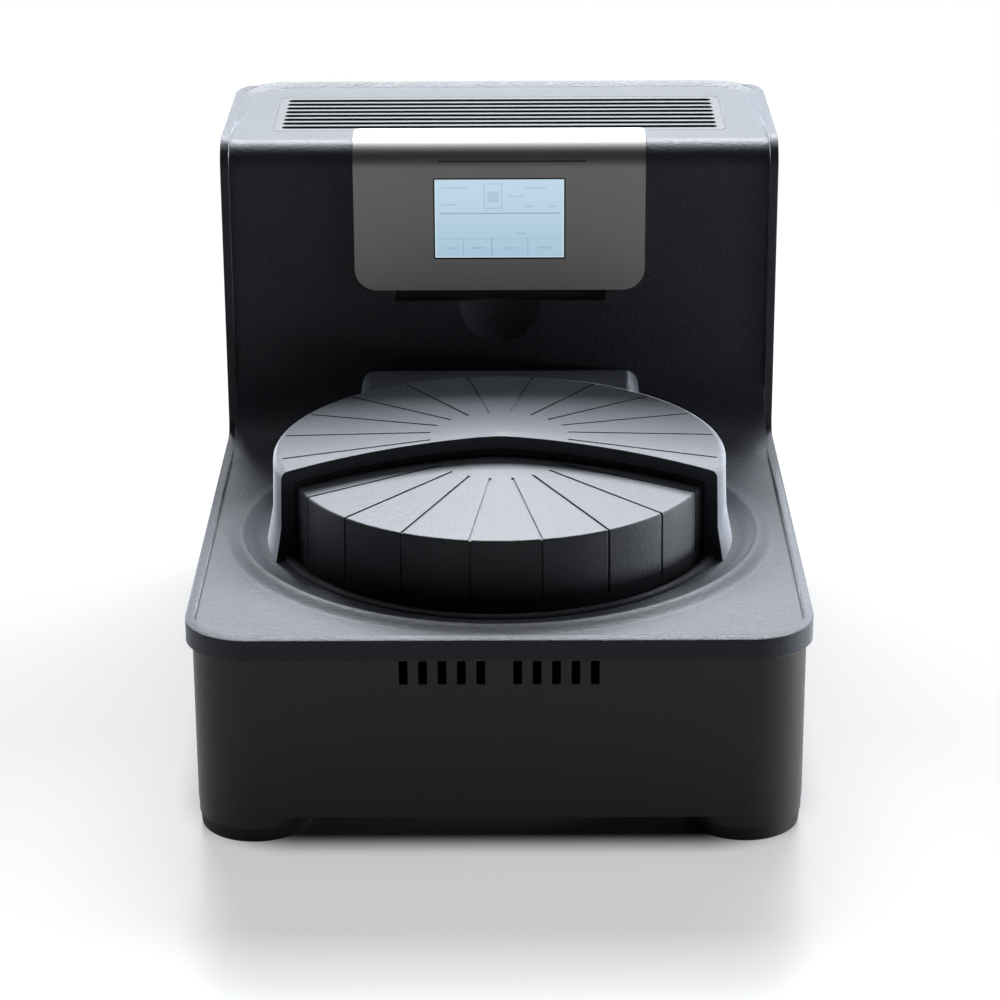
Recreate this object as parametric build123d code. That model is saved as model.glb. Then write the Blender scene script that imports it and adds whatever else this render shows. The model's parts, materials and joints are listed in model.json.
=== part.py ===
from build123d import *
import math
import os

# Planetary ball mill, millimetres. +Z is up, the user stands at -Y, and the origin is the
# middle of the footprint at bench level.

# Outer casing
side_margin = 13.0
front_margin = 10.0
tower_gap = 5.0
tower_depth = 191.0
tower_top = 364.0
rim_top = 144.0
band_height = 14.0
cover_corner_radius = 42.0
border_width = 6.0
plate_recess = 2.0
tower_recess = 3.0
kink_radius = 10.0
tower_edge_radius = 20.0
foot_curve_radius = 55.0
plate_thickness = 4.0
tower_wall = 5.0
roof_thickness = 4.0
side_overhang = 4.0
end_overhang = 6.0
cover_clearance = 0.4

# Lower housing and feet
housing_bottom = 18.5
housing_wall = 2.0
housing_corner_radius = 38.0
housing_flange_width = 14.0
housing_flange_thickness = 1.5
leg_bottom = 10.0
leg_floor = 2.0
leg_inset = 0.4
foot_inset = 0.5
foot_taper = 1.0
foot_rounding = 1.5
foot_screw_radius = 6.0
base_plate_thickness = 2.0
base_slot_rows = 5
base_slot_length = 120.0
base_slot_width = 6.0
base_slot_pitch = 16.0
base_slot_offset = 80.0
base_slot_lead = 80.0
front_slot_width = 5.5
front_slot_height = 16.0
front_slot_corner = 0.8
front_slot_pitch = 12.2
front_slot_group_offset = 36.0
front_slots_per_group = 5
front_slot_drop = 10.5
cutout_gap = 0.3

# Moat round the lid
moat_floor_drop = 3.0
moat_floor_margin = 2.0
moat_crest_run = 15.0
moat_crest_rise = 2.6
moat_fall_run = 12.0
moat_thickness = 4.2
opening_gap = 0.4

# Fixed hood over the rear of the chamber
hood_rise = 14.4
hood_slope = 0.076
hood_edge_step = 12.7
hood_wall_run = 5.5
hood_flare_rise = 20.0
hood_flare_step = 1.2
hood_edge_rounding = 5.0
hood_lip = 8.5
hood_skin = 3.2
hood_lip_depth = 6.0
hood_gap = 1.5
shell_rounding = 3.0
arch_setback = 283.0
arch_radius = 274.0
hood_groove_pitch = 18.0
hood_groove_count = 12
hood_groove_start = 47.0
hump_width = 202.0
hump_drop = 22.0
hump_front_radius = 107.0
hump_rounding = 10.0

# Turning lid
lid_headroom = 5.0
lid_slope = 0.0755
lid_edge_radius = 139.8
lid_draft = 0.7
lid_edge_rounding = 1.5
lid_skin = 3.0
lid_overlap = 15.0
lid_ring_step = 0.5
lid_ring_width = 11.0
lid_ring_height = 7.0
lid_ring_drop = 17.0
lid_groove_pitch = 19.0
lid_groove_count = 8
lid_groove_turn = 1.8
lid_groove_start = 44.0
lid_groove_rise = 3.0
groove_width = 1.7
groove_depth = 1.0
seal_width = 3.0
seal_setback = 1.0
seal_running_gap = 0.7
seal_foot_gap = 0.3

# Grille, control panel and the recesses under it
grille_side_margin = 35.0
grille_setback = 44.5
grille_depth = 103.0
grille_corner_radius = 5.0
grille_plate = 2.5
grille_ledge = 5.0
grille_gap = 0.3
grille_slot_count = 8
grille_slot_width = 7.0
grille_slot_margin = 1.0
panel_width = 210.0
panel_height = 110.5
panel_corner_radius = 16.0
panel_top_depth = 39.5
panel_rear_radius = 5.0
panel_gap = 0.1
window_width = 94.8
window_height = 60.0
window_drop = 27.0
window_thickness = 1.5
window_setback = 0.6
window_gap = 0.2
module_margin = 8.0
module_depth = 10.0
module_gap = 0.4
slot_recess_width = 153.0
slot_recess_height = 9.0
slot_recess_depth = 3.5
dish_radius = 29.5
dish_depth = 5.0
dish_drop = 10.5
dish_backing_margin = 3.0

# Rear of the machine
rear_opening_margin = 50.0
rear_opening_rise = 16.0
rear_opening_drop = 29.0
rear_panel_margin = 10.0
rear_panel_thickness = 2.0
rear_panel_gap = 0.5
rear_panel_corner = 4.0
rear_slot_count = 9
rear_slot_width = 110.0
rear_slot_height = 5.0
rear_slot_pitch = 13.0
rear_slot_offset = 70.0
screw_radius = 2.0
screw_gap = 0.2
screw_head_radius = 4.0
screw_length = 8.0
screw_socket_radius = 1.5
screw_socket_depth = 1.2
screw_end_margin = 15.0
inlet_side_inset = 66.0
inlet_rise = 20.0
inlet_width = 28.0
inlet_height = 22.0
inlet_flange_width = 50.0
inlet_flange_height = 26.0
inlet_flange_thickness = 2.0
inlet_depth = 22.0
socket_depth = 16.0
socket_wall = 2.0
blade_width = 2.0
blade_height = 4.0
blade_length = 14.0
blade_pitch = 7.0
earth_rise = 2.5
live_drop = 1.5
switch_spacing = 45.0
switch_width = 22.0
switch_height = 30.0
switch_bezel = 2.5
switch_bezel_thickness = 2.0
switch_wall = 2.0
switch_depth = 20.0
rocker_gap = 0.4
rocker_end_gap = 1.2
rocker_pin_radius = 1.5
rocker_pin_depth = 1.5
rocker_depth = 6.0
rocker_rise = 9.5
rocker_waist = 7.0
rocker_foot = 4.0
rocker_blend = 12.0

# Drive deck and chamber
deck_thickness = 8.0
deck_corner = 20.0
deck_front_margin = 45.0
deck_rear_margin = 28.0
deck_cable_slot_length = 60.0
deck_cable_slot_width = 20.0
deck_cable_slot_x = 80.0
deck_cable_slot_lead = 77.0
pillar_radius = 9.0
pillar_side_inset = 12.0
pillar_end_inset = 17.0
pan_skin = 2.0
pan_gap = 12.0
pan_corner = 5.0
pan_flange_margin = 9.0
pan_hole_gap = 0.4
disk_edge_gap = 9.0
guide_thickness = 2.4
guide_wall = 1.8
guide_gap = 0.3
guide_wall_rise = 2.0

# Main bearing, shafts and pulleys
fit_gap = 0.02
running_gap = 0.05
face_gap = 0.3
belt_gap = 0.3
shaft_radius = 12.5
shaft_nut_rise = 5.0
shaft_nut_height = 3.0
shaft_collar_rise = 4.0
shaft_flange_radius = 25.0
shaft_flange_thickness = 2.0
shaft_top_stub = 3.0
bearing_radius = 26.0
bearing_width = 12.0
bearing_spacing = 2.0
bearing_lip = 6.0
bearing_floor = 2.0
bearing_cover = 1.0
bearing_pulley_gap = 2.6
bearing_shield_inset = 3.0
bearing_shield_rise = 4.0
bearing_shield_depth = 0.6
bearing_housing_radius = 36.0
bearing_flange_radius = 50.0
bearing_flange_thickness = 4.0
timing_pitch = 5.0
sun_teeth = 40
planet_teeth = 20
tooth_tip_inset = 0.57
tooth_depth = 1.8
tooth_gap_share = 0.45
pulley_face = 8.6
belt_width = 8.0
belt_thickness = 1.8
pulley_flange = 1.2
pulley_flange_rise = 2.4
sun_bore_gap = 3.0
pulley_distance = 265.0
main_pulley_radius = 55.0
motor_pulley_radius = 30.0
drive_pulley_rise = 5.0
drive_face = 13.0
drive_belt_width = 12.0
drive_belt_thickness = 3.0
drive_groove_count = 3
drive_groove_depth = 2.0
pulley_web = 6.0
pulley_hub_wall = 7.0
pulley_rim_wall = 4.0
pulley_hole_radius = 8.0
pulley_hole_count = 5

# Disk and planets
planet_offset = 70.0
disk_clearance = 3.2
disk_thickness = 9.0
disk_web = 5.0
disk_rim_width = 9.0
disk_rim_slope = 3.0
disk_edge_rounding = 1.5
disk_hub_radius = 30.0
disk_pocket_radius = 11.0
disk_pocket_ring = 85.0
disk_pocket_turn = 55.0
planet_boss_wall = 10.0
planet_bearing_radius = 17.0
planet_bearing_width = 11.0
planet_bearing_drop = 1.0
spindle_radius = 8.0
spindle_collar_radius = 11.0
spindle_flange_radius = 15.0
spindle_flange_thickness = 1.7
hub_cap_gap = 2.5
hub_cap_height = 10.0
hub_cap_recess = 4.0
hub_cap_rounding = 3.0
hub_cap_flute_radius = 1.6
hub_cap_flutes = 12
holder_floor = 4.0
holder_gap = 5.0
holder_wall = 3.5
holder_height = 68.0
holder_lug_height = 3.7
holder_lug_angle = 50.0
holder_window_angle = 62.0
holder_window_bottom = 10.0
holder_window_top = 46.0
holder_foot_rounding = 2.0
lug_count = 3
lug_lead = 1.2
bowl_radius = 38.0
bowl_wall = 11.0
bowl_height = 50.0
bowl_floor = 8.0
bowl_corner = 6.0
bowl_edge_rounding = 1.0
bowl_seat_height = 3.0
bowl_seat_gap = 0.3
seal_inset = 2.0
seal_ring_height = 1.5
bowl_lid_height = 6.0
bowl_lid_chamfer = 2.0
bowl_lid_chamfer_run = 6.0
bowl_plug_depth = 4.0
bowl_plug_gap = 0.4
clamp_plate_gap = 0.6
clamp_lug_angle = 44.0
clamp_gap = 0.4
clamp_top_drop = 1.0
clamp_recess_depth = 4.0
clamp_rim = 8.0
clamp_hub_radius = 14.0
clamp_handle_length = 62.0
clamp_handle_width = 12.0
clamp_handle_height = 5.0
ball_radius = 7.5
ball_count = 5
ball_side_gap = 1.46
ball_gap = 0.1
ball_turn = 18.0

# Motor and power parts
motor_radius = 52.0
motor_height = 125.0
motor_flange_margin = 8.0
motor_flange_corner = 12.0
motor_flange_thickness = 8.0
motor_top_rounding = 8.0
motor_shaft_radius = 9.5
motor_shaft_depth = 30.0
motor_shaft_hole_gap = 6.0
motor_collar_rise = 3.0
motor_collar_height = 3.0
motor_fin_count = 18
motor_fin_height = 5.0
motor_fin_width = 3.0
motor_fin_lift = 8.0
motor_fin_drop = 30.0
inverter_width = 62.0
inverter_depth = 120.0
inverter_height = 150.0
inverter_side_inset = 68.0
inverter_setback = 86.0
inverter_corner = 3.0
heatsink_height = 18.0
heatsink_fins = 9
heatsink_fin_width = 3.0
heatsink_drop = 6.0
board_width = 150.0
board_height = 110.0
board_thickness = 1.6
board_drop = 5.0
standoff_length = 8.0
standoff_radius = 3.0
standoff_x = 40.0
standoff_low = 2.0
standoff_high = 54.0
# x from, x to, z from, z to and depth of the larger components on the board
board_components = ((-60, -20, 20, 45, 12), (10, 34, 60, 84, 3), (45, 60, 10, 70, 9))
fan_size = 92.0
fan_thickness = 25.0
fan_corner = 4.0
fan_bore = 43.5
fan_hang = 27.0
fan_hub_radius = 19.0
fan_hub_floor = 4.0
fan_hub_lift = 5.0
fan_hub_drop = 2.0
fan_tip_gap = 1.0
fan_blade_count = 7
fan_blade_chord = 24.0
fan_blade_thickness = 1.6
fan_blade_pitch = 38.0
fan_blade_root = 2.0
fan_axle_radius = 3.0
fan_strut_width = 5.0
fan_strut_height = 3.0
fan_side_gap = 3.0
fan_bracket_inset = 4.0
fan_bracket_thickness = 2.0

# Lid lock
bolt_radius = 4.0
bolt_travel = 8.0
bolt_length = 30.0
bolt_rest_gap = 0.6
bolt_end_gap = 1.5
bolt_nose_rounding = 1.2
notch_gap = 0.6
lock_width = 26.0
lock_height = 22.0
lock_length = 38.0
lock_pan_gap = 3.0
lock_foot_margin = 8.0
lock_foot_length = 10.0
lock_foot_thickness = 4.0

# Rings of the chamber, worked outwards from the edge of the lid
lid_wall_foot_radius = lid_edge_radius + lid_draft
lid_ring_outer = lid_wall_foot_radius + lid_ring_step
lid_ring_inner = lid_ring_outer - lid_ring_width
opening_radius = lid_ring_outer + guide_gap + guide_wall + opening_gap
hood_edge_radius = lid_edge_radius + hood_edge_step
hood_wall_foot_radius = hood_edge_radius + hood_wall_run
moat_floor_radius = hood_wall_foot_radius + moat_floor_margin
moat_crest_radius = moat_floor_radius + moat_crest_run
moat_outer_radius = moat_crest_radius + moat_fall_run
disk_radius = lid_ring_inner - disk_edge_gap
pan_radius = disk_radius + pan_gap + pan_skin
pan_flange_radius = lid_ring_outer + pan_flange_margin

# Plan of the machine, worked out from the ring round the lid
cover_width = 2 * (moat_outer_radius + side_margin)
cover_depth = front_margin + 2 * moat_outer_radius + tower_gap + tower_depth
front_y = -cover_depth / 2
rear_y = cover_depth / 2
mill_y = front_y + front_margin + moat_outer_radius
tower_front = mill_y + moat_outer_radius + tower_gap
arch_centre_y = mill_y - arch_setback
motor_y = mill_y + pulley_distance
face_y = tower_front + tower_recess
face_inner_y = face_y + tower_wall
grille_front = tower_front + grille_setback
fan_y = grille_front + grille_depth / 2
panel_rear = tower_front + panel_top_depth
inverter_y = tower_front + inverter_setback
housing_width = cover_width - 2 * side_overhang
grille_width = cover_width - 2 * grille_side_margin
rear_opening_width = cover_width - 2 * rear_opening_margin
deck_width = 2 * pan_flange_radius
inlet_x = inlet_side_inset - housing_width / 2
switch_x = inlet_x + switch_spacing
inverter_x = housing_width / 2 - inverter_side_inset
housing_front = front_y + end_overhang
housing_rear = rear_y - end_overhang
leg_radius = housing_corner_radius - leg_inset
leg_x = housing_width / 2 - housing_corner_radius
leg_front_y = housing_front + housing_corner_radius
leg_rear_y = housing_rear - housing_corner_radius
deck_front = front_y + deck_front_margin
deck_rear = rear_y - deck_rear_margin
pillar_x = deck_width / 2 - pillar_side_inset
pillar_rows = (deck_front + pillar_end_inset, (deck_front + deck_rear) / 2, deck_rear - pillar_end_inset)

# Levels of the casing
band_bottom = rim_top - band_height
plate_top = rim_top - plate_recess
plate_under = plate_top - plate_thickness
moat_floor_z = plate_top - moat_floor_drop
moat_crest_z = plate_top + moat_crest_rise
hood_flare_z = plate_top + hood_flare_rise
lid_groove_foot_z = plate_top + lid_groove_rise
lid_ring_top = plate_top - lid_ring_drop
lid_ring_bottom = lid_ring_top - lid_ring_height
lock_z = (lid_ring_bottom + lid_ring_top) / 2
pan_top = lid_ring_bottom - guide_gap - guide_thickness
front_slot_centre_z = band_bottom - front_slot_drop
roof_top = tower_top - tower_recess
roof_under = roof_top - roof_thickness
panel_bottom = tower_top - panel_height
window_bottom = tower_top - window_drop - window_height
dish_z = panel_bottom - dish_drop
board_bottom = roof_under - board_drop - board_height
fan_top = roof_under - fan_hang
rear_opening_bottom = rim_top + rear_opening_rise
rear_opening_top = tower_top - rear_opening_drop
module_half_width = window_width / 2 + module_margin

# Levels of the drive, stacked up from the floor of the housing to the lid
base_plate_bottom = housing_bottom + housing_flange_thickness
base_plate_top = base_plate_bottom + base_plate_thickness
drive_pulley_bottom = base_plate_top + drive_pulley_rise
drive_pulley_top = drive_pulley_bottom + drive_face + 2 * pulley_flange
bearing_bottom = drive_pulley_top + bearing_pulley_gap
lower_bearing = bearing_bottom + bearing_floor
upper_bearing = lower_bearing + bearing_width + bearing_spacing
bearing_top = upper_bearing + bearing_width + bearing_cover
deck_top = bearing_top - bearing_flange_thickness
deck_bottom = deck_top - deck_thickness
inlet_z = deck_top + inlet_rise
level_height = pulley_face + pulley_flange
level_bottoms = (bearing_top, bearing_top + level_height)
sun_top = level_bottoms[1] + level_height + pulley_flange
disk_bottom = sun_top + disk_clearance
disk_top = disk_bottom + disk_thickness
planet_bearing_low = disk_bottom - planet_bearing_drop
planet_bearing_high = planet_bearing_low + planet_bearing_width
holder_bottom = planet_bearing_high + face_gap + spindle_flange_thickness
holder_seat = holder_bottom + holder_floor
holder_top = holder_seat + holder_height
bowl_rim = holder_seat + bowl_height
bowl_lid_bottom = bowl_rim + seal_ring_height
bowl_lid_top = bowl_lid_bottom + bowl_lid_height
clamp_bottom = bowl_lid_top + clamp_gap
clamp_lug_top = holder_top - holder_lug_height - clamp_gap
clamp_recess_floor = holder_top - clamp_recess_depth
clamp_top = clamp_recess_floor + clamp_handle_height
handle_reach = planet_offset + clamp_handle_length / 2
lid_apex_z = clamp_top + lid_headroom + lid_skin + lid_slope * handle_reach
hood_apex_z = lid_apex_z + hood_rise
hump_top = hood_apex_z - hump_drop

# Radii of the planets and pulleys
sun_tip = sun_teeth * timing_pitch / (2 * math.pi) - tooth_tip_inset
planet_tip = planet_teeth * timing_pitch / (2 * math.pi) - tooth_tip_inset
bowl_bore = bowl_radius - bowl_wall
holder_inner = bowl_radius + holder_gap
holder_outer = holder_inner + holder_wall
holder_lug_inner = bowl_radius + lug_lead
clamp_plate_radius = holder_lug_inner - clamp_plate_gap
clamp_lug_radius = holder_inner - clamp_gap
hub_cap_radius = planet_offset - holder_outer - hub_cap_gap
ball_ring = (2 * ball_radius + ball_side_gap) / (2 * math.sin(math.pi / ball_count))
sides = {"left": -1, "right": 1}


def outline(points, rounding=()):
    """Closed outline through the points, with the listed corners rounded."""
    shape = make_face(Polyline(*points, close=True))
    for corner, radius in rounding:
        nearest = shape.vertices().sort_by_distance((corner[0], corner[1], 0))[0]
        shape = fillet(nearest, radius)
    return shape


def rounded_block(width, y_low, y_high, radius, z_low, z_high):
    plan = RectangleRounded(width, y_high - y_low, radius)
    return Pos(0, (y_low + y_high) / 2, z_low) * extrude(plan, amount=z_high - z_low)


def block(x_low, x_high, y_low, y_high, z_low, z_high):
    size = Box(x_high - x_low, y_high - y_low, z_high - z_low)
    return Pos((x_low + x_high) / 2, (y_low + y_high) / 2, (z_low + z_high) / 2) * size


def drum(radius, z_low, z_high, x=0.0, y=0.0):
    return Pos(x, y, (z_low + z_high) / 2) * Cylinder(radius, z_high - z_low)


def tube(outer, inner, z_low, z_high, x=0.0, y=0.0):
    return drum(outer, z_low, z_high, x, y) - drum(inner, z_low - 1, z_high + 1, x, y)


def turned(points, rounding=(), x=0.0, y=0.0):
    """Solid of revolution about an upright axis from a radius and height outline."""
    return Pos(x, y, 0) * revolve(Plane.XZ * outline(points, rounding), axis=Axis.Z)


def sector(radius, angle, middle, z_low, z_high):
    """Pie slice about the Z axis, used to cut windows and lugs."""
    half = math.radians(angle / 2)
    reach = radius / math.cos(half)
    corners = [(0, 0), (reach * math.cos(half), -reach * math.sin(half))]
    corners.append((reach * math.cos(half), reach * math.sin(half)))
    slice_plan = make_face(Polyline(*corners, close=True))
    return Pos(0, 0, z_low) * Rot(0, 0, middle) * extrude(slice_plan, amount=z_high - z_low)


def arch(radius, z_low, z_high):
    """Upright cylinder whose rear side is the arch-shaped front edge of the hood."""
    return drum(radius, z_low, z_high, 0, arch_centre_y)


def band(first, first_radius, second, second_radius, thickness, z_low, z_high):
    """Belt round two pulleys, with straight spans tangent to both."""
    def loop(extra):
        circles = Pos(*first) * Circle(first_radius + extra) + Pos(*second) * Circle(second_radius + extra)
        return make_hull(circles.edges())
    ring = loop(thickness) - loop(0)
    return Pos(0, 0, z_low) * extrude(ring, amount=z_high - z_low)


# Casing

def make_lower_housing():
    inner_radius = housing_corner_radius - housing_wall
    shell = rounded_block(housing_width, housing_front, housing_rear, housing_corner_radius,
                          housing_bottom, plate_under)
    shell -= rounded_block(housing_width - 2 * housing_wall, housing_front + housing_wall,
                           housing_rear - housing_wall, inner_radius, base_plate_bottom, plate_under + 1)
    floor_opening = housing_width - 2 * (housing_wall + housing_flange_width)
    shell -= rounded_block(floor_opening, housing_front + housing_wall + housing_flange_width,
                           housing_rear - housing_wall - housing_flange_width, inner_radius,
                           housing_bottom - 1, base_plate_bottom + 1)
    for side in sides.values():
        for index in range(front_slots_per_group):
            shift = index - (front_slots_per_group - 1) / 2
            x = side * front_slot_group_offset + shift * front_slot_pitch
            slot = RectangleRounded(front_slot_width, front_slot_height, front_slot_corner)
            cutter = extrude(Plane.XZ * slot, amount=2 * housing_wall, both=True)
            shell -= Pos(x, housing_front, front_slot_centre_z) * cutter
    for x, width, height in ((inlet_x, inlet_width, inlet_height), (switch_x, switch_width, switch_height)):
        half_width = width / 2 + cutout_gap
        half_height = height / 2 + cutout_gap
        shell -= block(x - half_width, x + half_width, housing_rear - housing_wall - 1, housing_rear + 1,
                       inlet_z - half_height, inlet_z + half_height)
    return shell


def make_base_plate():
    inset = housing_wall + cover_clearance
    plate = rounded_block(housing_width - 2 * inset, housing_front + inset, housing_rear - inset,
                          housing_corner_radius - inset, base_plate_bottom, base_plate_top)
    slot = extrude(SlotOverall(base_slot_length, base_slot_width), amount=base_plate_thickness + 2)
    for row in range(base_slot_rows):
        y = motor_y - base_slot_lead + (row - (base_slot_rows - 1) / 2) * base_slot_pitch
        for x in (-base_slot_offset, base_slot_offset):
            plate -= Pos(x, y, base_plate_bottom - 1) * slot
    return plate


def make_corner_legs():
    """Round cups under the corners of the housing, one on each foot."""
    leg = drum(leg_radius, leg_bottom, housing_bottom)
    leg -= drum(leg_radius - housing_wall, leg_bottom + leg_floor, housing_bottom + 1)
    return Compound(children=[Pos(x, y, 0) * leg for x in (-leg_x, leg_x) for y in (leg_front_y, leg_rear_y)])


def make_foot(x, y):
    radius = leg_radius - foot_inset
    sole = radius - foot_taper
    pad = turned([(0, 0), (sole, 0), (radius, leg_bottom), (0, leg_bottom)],
                 [((sole, 0), foot_rounding)], x, y)
    return pad - drum(foot_screw_radius, -1, leg_bottom / 2, x, y)


def moat_section():
    """Section of the ring round the lid: flat seat, rise to a soft crest, fall to the plate."""
    underside = moat_floor_z - moat_thickness
    rise = Spline((moat_floor_radius, moat_floor_z), (moat_crest_radius, moat_crest_z),
                  (moat_outer_radius, plate_top), tangents=[(1, 0), (1, -0.04)])
    closing = Polyline((moat_outer_radius, plate_top), (moat_outer_radius, underside),
                       (opening_radius, underside), (opening_radius, moat_floor_z),
                       (moat_floor_radius, moat_floor_z))
    return make_face(rise + closing)


def make_upper_cover():
    rim = outline([(front_y, band_bottom), (front_y, rim_top), (tower_front, rim_top),
                   (tower_front, tower_top), (rear_y, tower_top), (rear_y, band_bottom)],
                  [((tower_front, rim_top), kink_radius), ((tower_front, tower_top), tower_edge_radius),
                   ((rear_y, tower_top), tower_edge_radius)])
    field = outline([(front_y, band_bottom), (front_y, plate_top), (face_y, plate_top),
                     (face_y, roof_top), (rear_y, roof_top), (rear_y, band_bottom)],
                    [((face_y, roof_top), tower_edge_radius - tower_recess)])
    hollow = outline([(front_y, band_bottom - 1), (front_y, plate_under), (face_inner_y, plate_under),
                      (face_inner_y, roof_under), (rear_y, roof_under), (rear_y, band_bottom - 1)],
                     [((face_inner_y, roof_under), tower_edge_radius - tower_recess - roof_thickness)])
    outer = rounded_block(cover_width, front_y, rear_y, cover_corner_radius, 0, tower_top + 1)
    zone = rounded_block(cover_width - 2 * border_width, front_y + border_width, rear_y - border_width,
                         cover_corner_radius - border_width, 0, tower_top + 1)
    inside = rounded_block(housing_width + 2 * cover_clearance, housing_front - cover_clearance,
                           housing_rear + cover_clearance, housing_corner_radius + cover_clearance,
                           0, tower_top + 1)
    half = cover_width / 2
    rim_body = extrude(Plane.YZ * rim, amount=half, both=True) & outer
    field_body = extrude(Plane.YZ * field, amount=half, both=True) & zone
    cover = (rim_body - zone) + field_body
    cover -= extrude(Plane.YZ * hollow, amount=half, both=True) & inside

    # moat round the lid, curved foot of the tower, and the hump behind the hood
    cover -= drum(moat_outer_radius, plate_under - 1, plate_top + 0.01, 0, mill_y)
    cover += Pos(0, mill_y, 0) * revolve(Plane.XZ * moat_section(), axis=Axis.Z)
    curve = foot_curve_radius
    fill = Pos(face_y - curve / 2 + 0.5, (plate_under + plate_top + curve) / 2)
    fill *= Rectangle(curve + 1, plate_top + curve - plate_under)
    fill -= Pos(face_y - curve, plate_top + curve) * Circle(curve)
    cover += extrude(Plane.YZ * fill, amount=half, both=True) & zone
    hump = block(-hump_width / 2, hump_width / 2, mill_y + hump_front_radius, face_y + 1,
                 plate_under, hump_top)
    hump = fillet(hump.edges().filter_by(Axis.Z).group_by(Axis.Y)[0], hump_rounding)
    hump = fillet(hump.faces().sort_by(Axis.Z)[-1].edges().group_by(Axis.Y)[0:3], hump_rounding)
    cover += hump
    cover -= drum(hood_wall_foot_radius + hood_gap, moat_floor_z, hood_apex_z, 0, mill_y)
    cover -= drum(opening_radius, band_bottom, hood_apex_z, 0, mill_y)

    # openings for the display, the grille and the rear panel
    cover -= block(-module_half_width, module_half_width, face_y - 1, face_inner_y + 1,
                   window_bottom - module_margin, window_bottom + window_height + module_margin)
    slot_x = slot_recess_width / 2
    cover -= block(-slot_x, slot_x, face_y - 1, face_y + slot_recess_depth,
                   panel_bottom - slot_recess_height, panel_bottom + 1)
    reach = dish_radius + dish_backing_margin
    backing = Pos(0, face_inner_y, dish_z) * Rot(-90, 0, 0) * Cylinder(reach, 2 * dish_depth)
    backing_top = window_bottom - module_margin - 1
    cover += backing & block(-reach, reach, face_inner_y - 1, face_inner_y + dish_depth,
                             dish_z - reach, backing_top)
    dish_ball = (dish_radius ** 2 + dish_depth ** 2) / (2 * dish_depth)
    dish = Pos(0, face_y + dish_depth - dish_ball, dish_z) * Sphere(dish_ball)
    cover -= dish & block(-reach, reach, face_y - 1, face_inner_y + dish_depth, dish_z - reach, panel_bottom)
    cover -= rounded_block(grille_width, grille_front, grille_front + grille_depth, grille_corner_radius,
                           roof_top - grille_plate, tower_top)
    cover -= rounded_block(grille_width - 2 * grille_ledge, grille_front + grille_ledge,
                           grille_front + grille_depth - grille_ledge, grille_corner_radius,
                           roof_under - 1, tower_top)
    cover -= block(-rear_opening_width / 2, rear_opening_width / 2, housing_rear - 1, rear_y + 1,
                   rear_opening_bottom, rear_opening_top)
    pocket = rear_panel_margin + rear_panel_gap
    cover -= block(-rear_opening_width / 2 - pocket, rear_opening_width / 2 + pocket,
                   rear_y - rear_panel_thickness, rear_y + 1, rear_opening_bottom - pocket,
                   rear_opening_top + pocket)
    for x, z in rear_screw_places():
        cover -= rear_facing(x, z) * drum(screw_radius + screw_gap, -screw_length - 1, 1)
    return cover


def rear_facing(x, z):
    """Place on the rear face with its own Z axis pointing backwards."""
    return Pos(x, rear_y, z) * Rot(-90, 0, 0)


def rear_screw_places():
    """Fixing screws of the rear panel, three down each side."""
    x = rear_opening_width / 2 + rear_panel_margin / 2
    middle = (rear_opening_bottom + rear_opening_top) / 2
    heights = (rear_opening_bottom + screw_end_margin, middle, rear_opening_top - screw_end_margin)
    return [(side * x, z) for side in sides.values() for z in heights]


def countersunk(extra):
    """Screw with its flat head flush with the rear face, or its hole with some extra radius."""
    shank = screw_radius + extra
    head = screw_head_radius + extra
    return turned([(0, -screw_length), (shank, -screw_length), (shank, -rear_panel_thickness),
                   (head, 0), (0, 0)])


def make_rear_panel():
    margin = rear_panel_margin
    height = rear_opening_top - rear_opening_bottom + 2 * margin
    middle = (rear_opening_bottom + rear_opening_top) / 2
    sheet = RectangleRounded(rear_opening_width + 2 * margin, height, rear_panel_corner)
    for side in sides.values():
        for row in range(rear_slot_count):
            shift = (row - (rear_slot_count - 1) / 2) * rear_slot_pitch
            sheet -= Pos(side * rear_slot_offset, shift) * SlotOverall(rear_slot_width, rear_slot_height)
    plate = Pos(0, rear_y, middle) * extrude(Plane.XZ * sheet, amount=rear_panel_thickness)
    for x, z in rear_screw_places():
        plate -= rear_facing(x, z) * countersunk(screw_gap)
    return plate


def make_panel_screws():
    socket = RegularPolygon(screw_socket_radius, 6)
    screw = countersunk(0) - Pos(0, 0, -screw_socket_depth) * extrude(socket, amount=2 * screw_socket_depth)
    return Compound(children=[rear_facing(x, z) * screw for x, z in rear_screw_places()])


def make_chamber_hood():
    def height(radius):
        return hood_apex_z - hood_slope * radius

    lip_radius = hood_edge_radius - hood_lip
    skin_radius = hood_edge_radius - hood_skin
    shell = turned([(0, moat_floor_z), (0, hood_apex_z), (hood_edge_radius, height(hood_edge_radius)),
                    (hood_edge_radius + hood_flare_step, hood_flare_z),
                    (hood_wall_foot_radius, moat_floor_z)],
                   [((hood_edge_radius, height(hood_edge_radius)), hood_edge_rounding)])
    shell -= turned([(0, moat_floor_z - 1), (0, hood_apex_z - hood_lip),
                     (lip_radius, height(lip_radius) - hood_lip), (lip_radius, moat_floor_z - 1)],
                    [((lip_radius, height(lip_radius) - hood_lip), shell_rounding)])
    hollow = turned([(0, moat_floor_z - 1), (0, hood_apex_z - hood_skin),
                     (skin_radius, height(skin_radius) - hood_skin), (skin_radius, moat_floor_z - 1)],
                    [((skin_radius, height(skin_radius) - hood_skin), shell_rounding)])
    front_edge = Pos(0, -mill_y, 0)
    shell -= hollow - front_edge * arch(arch_radius + hood_lip_depth, 0, hood_apex_z + 1)
    for index in range(hood_groove_count):
        turn = 90 + (index - (hood_groove_count - 1) / 2) * hood_groove_pitch
        shell -= Rot(0, 0, turn) * cone_groove(hood_apex_z, hood_slope, hood_groove_start,
                                               hood_edge_radius - hood_edge_rounding)
    shell -= front_edge * arch(arch_radius, 0, hood_apex_z + 1)
    return Pos(0, mill_y, 0) * shell


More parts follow.
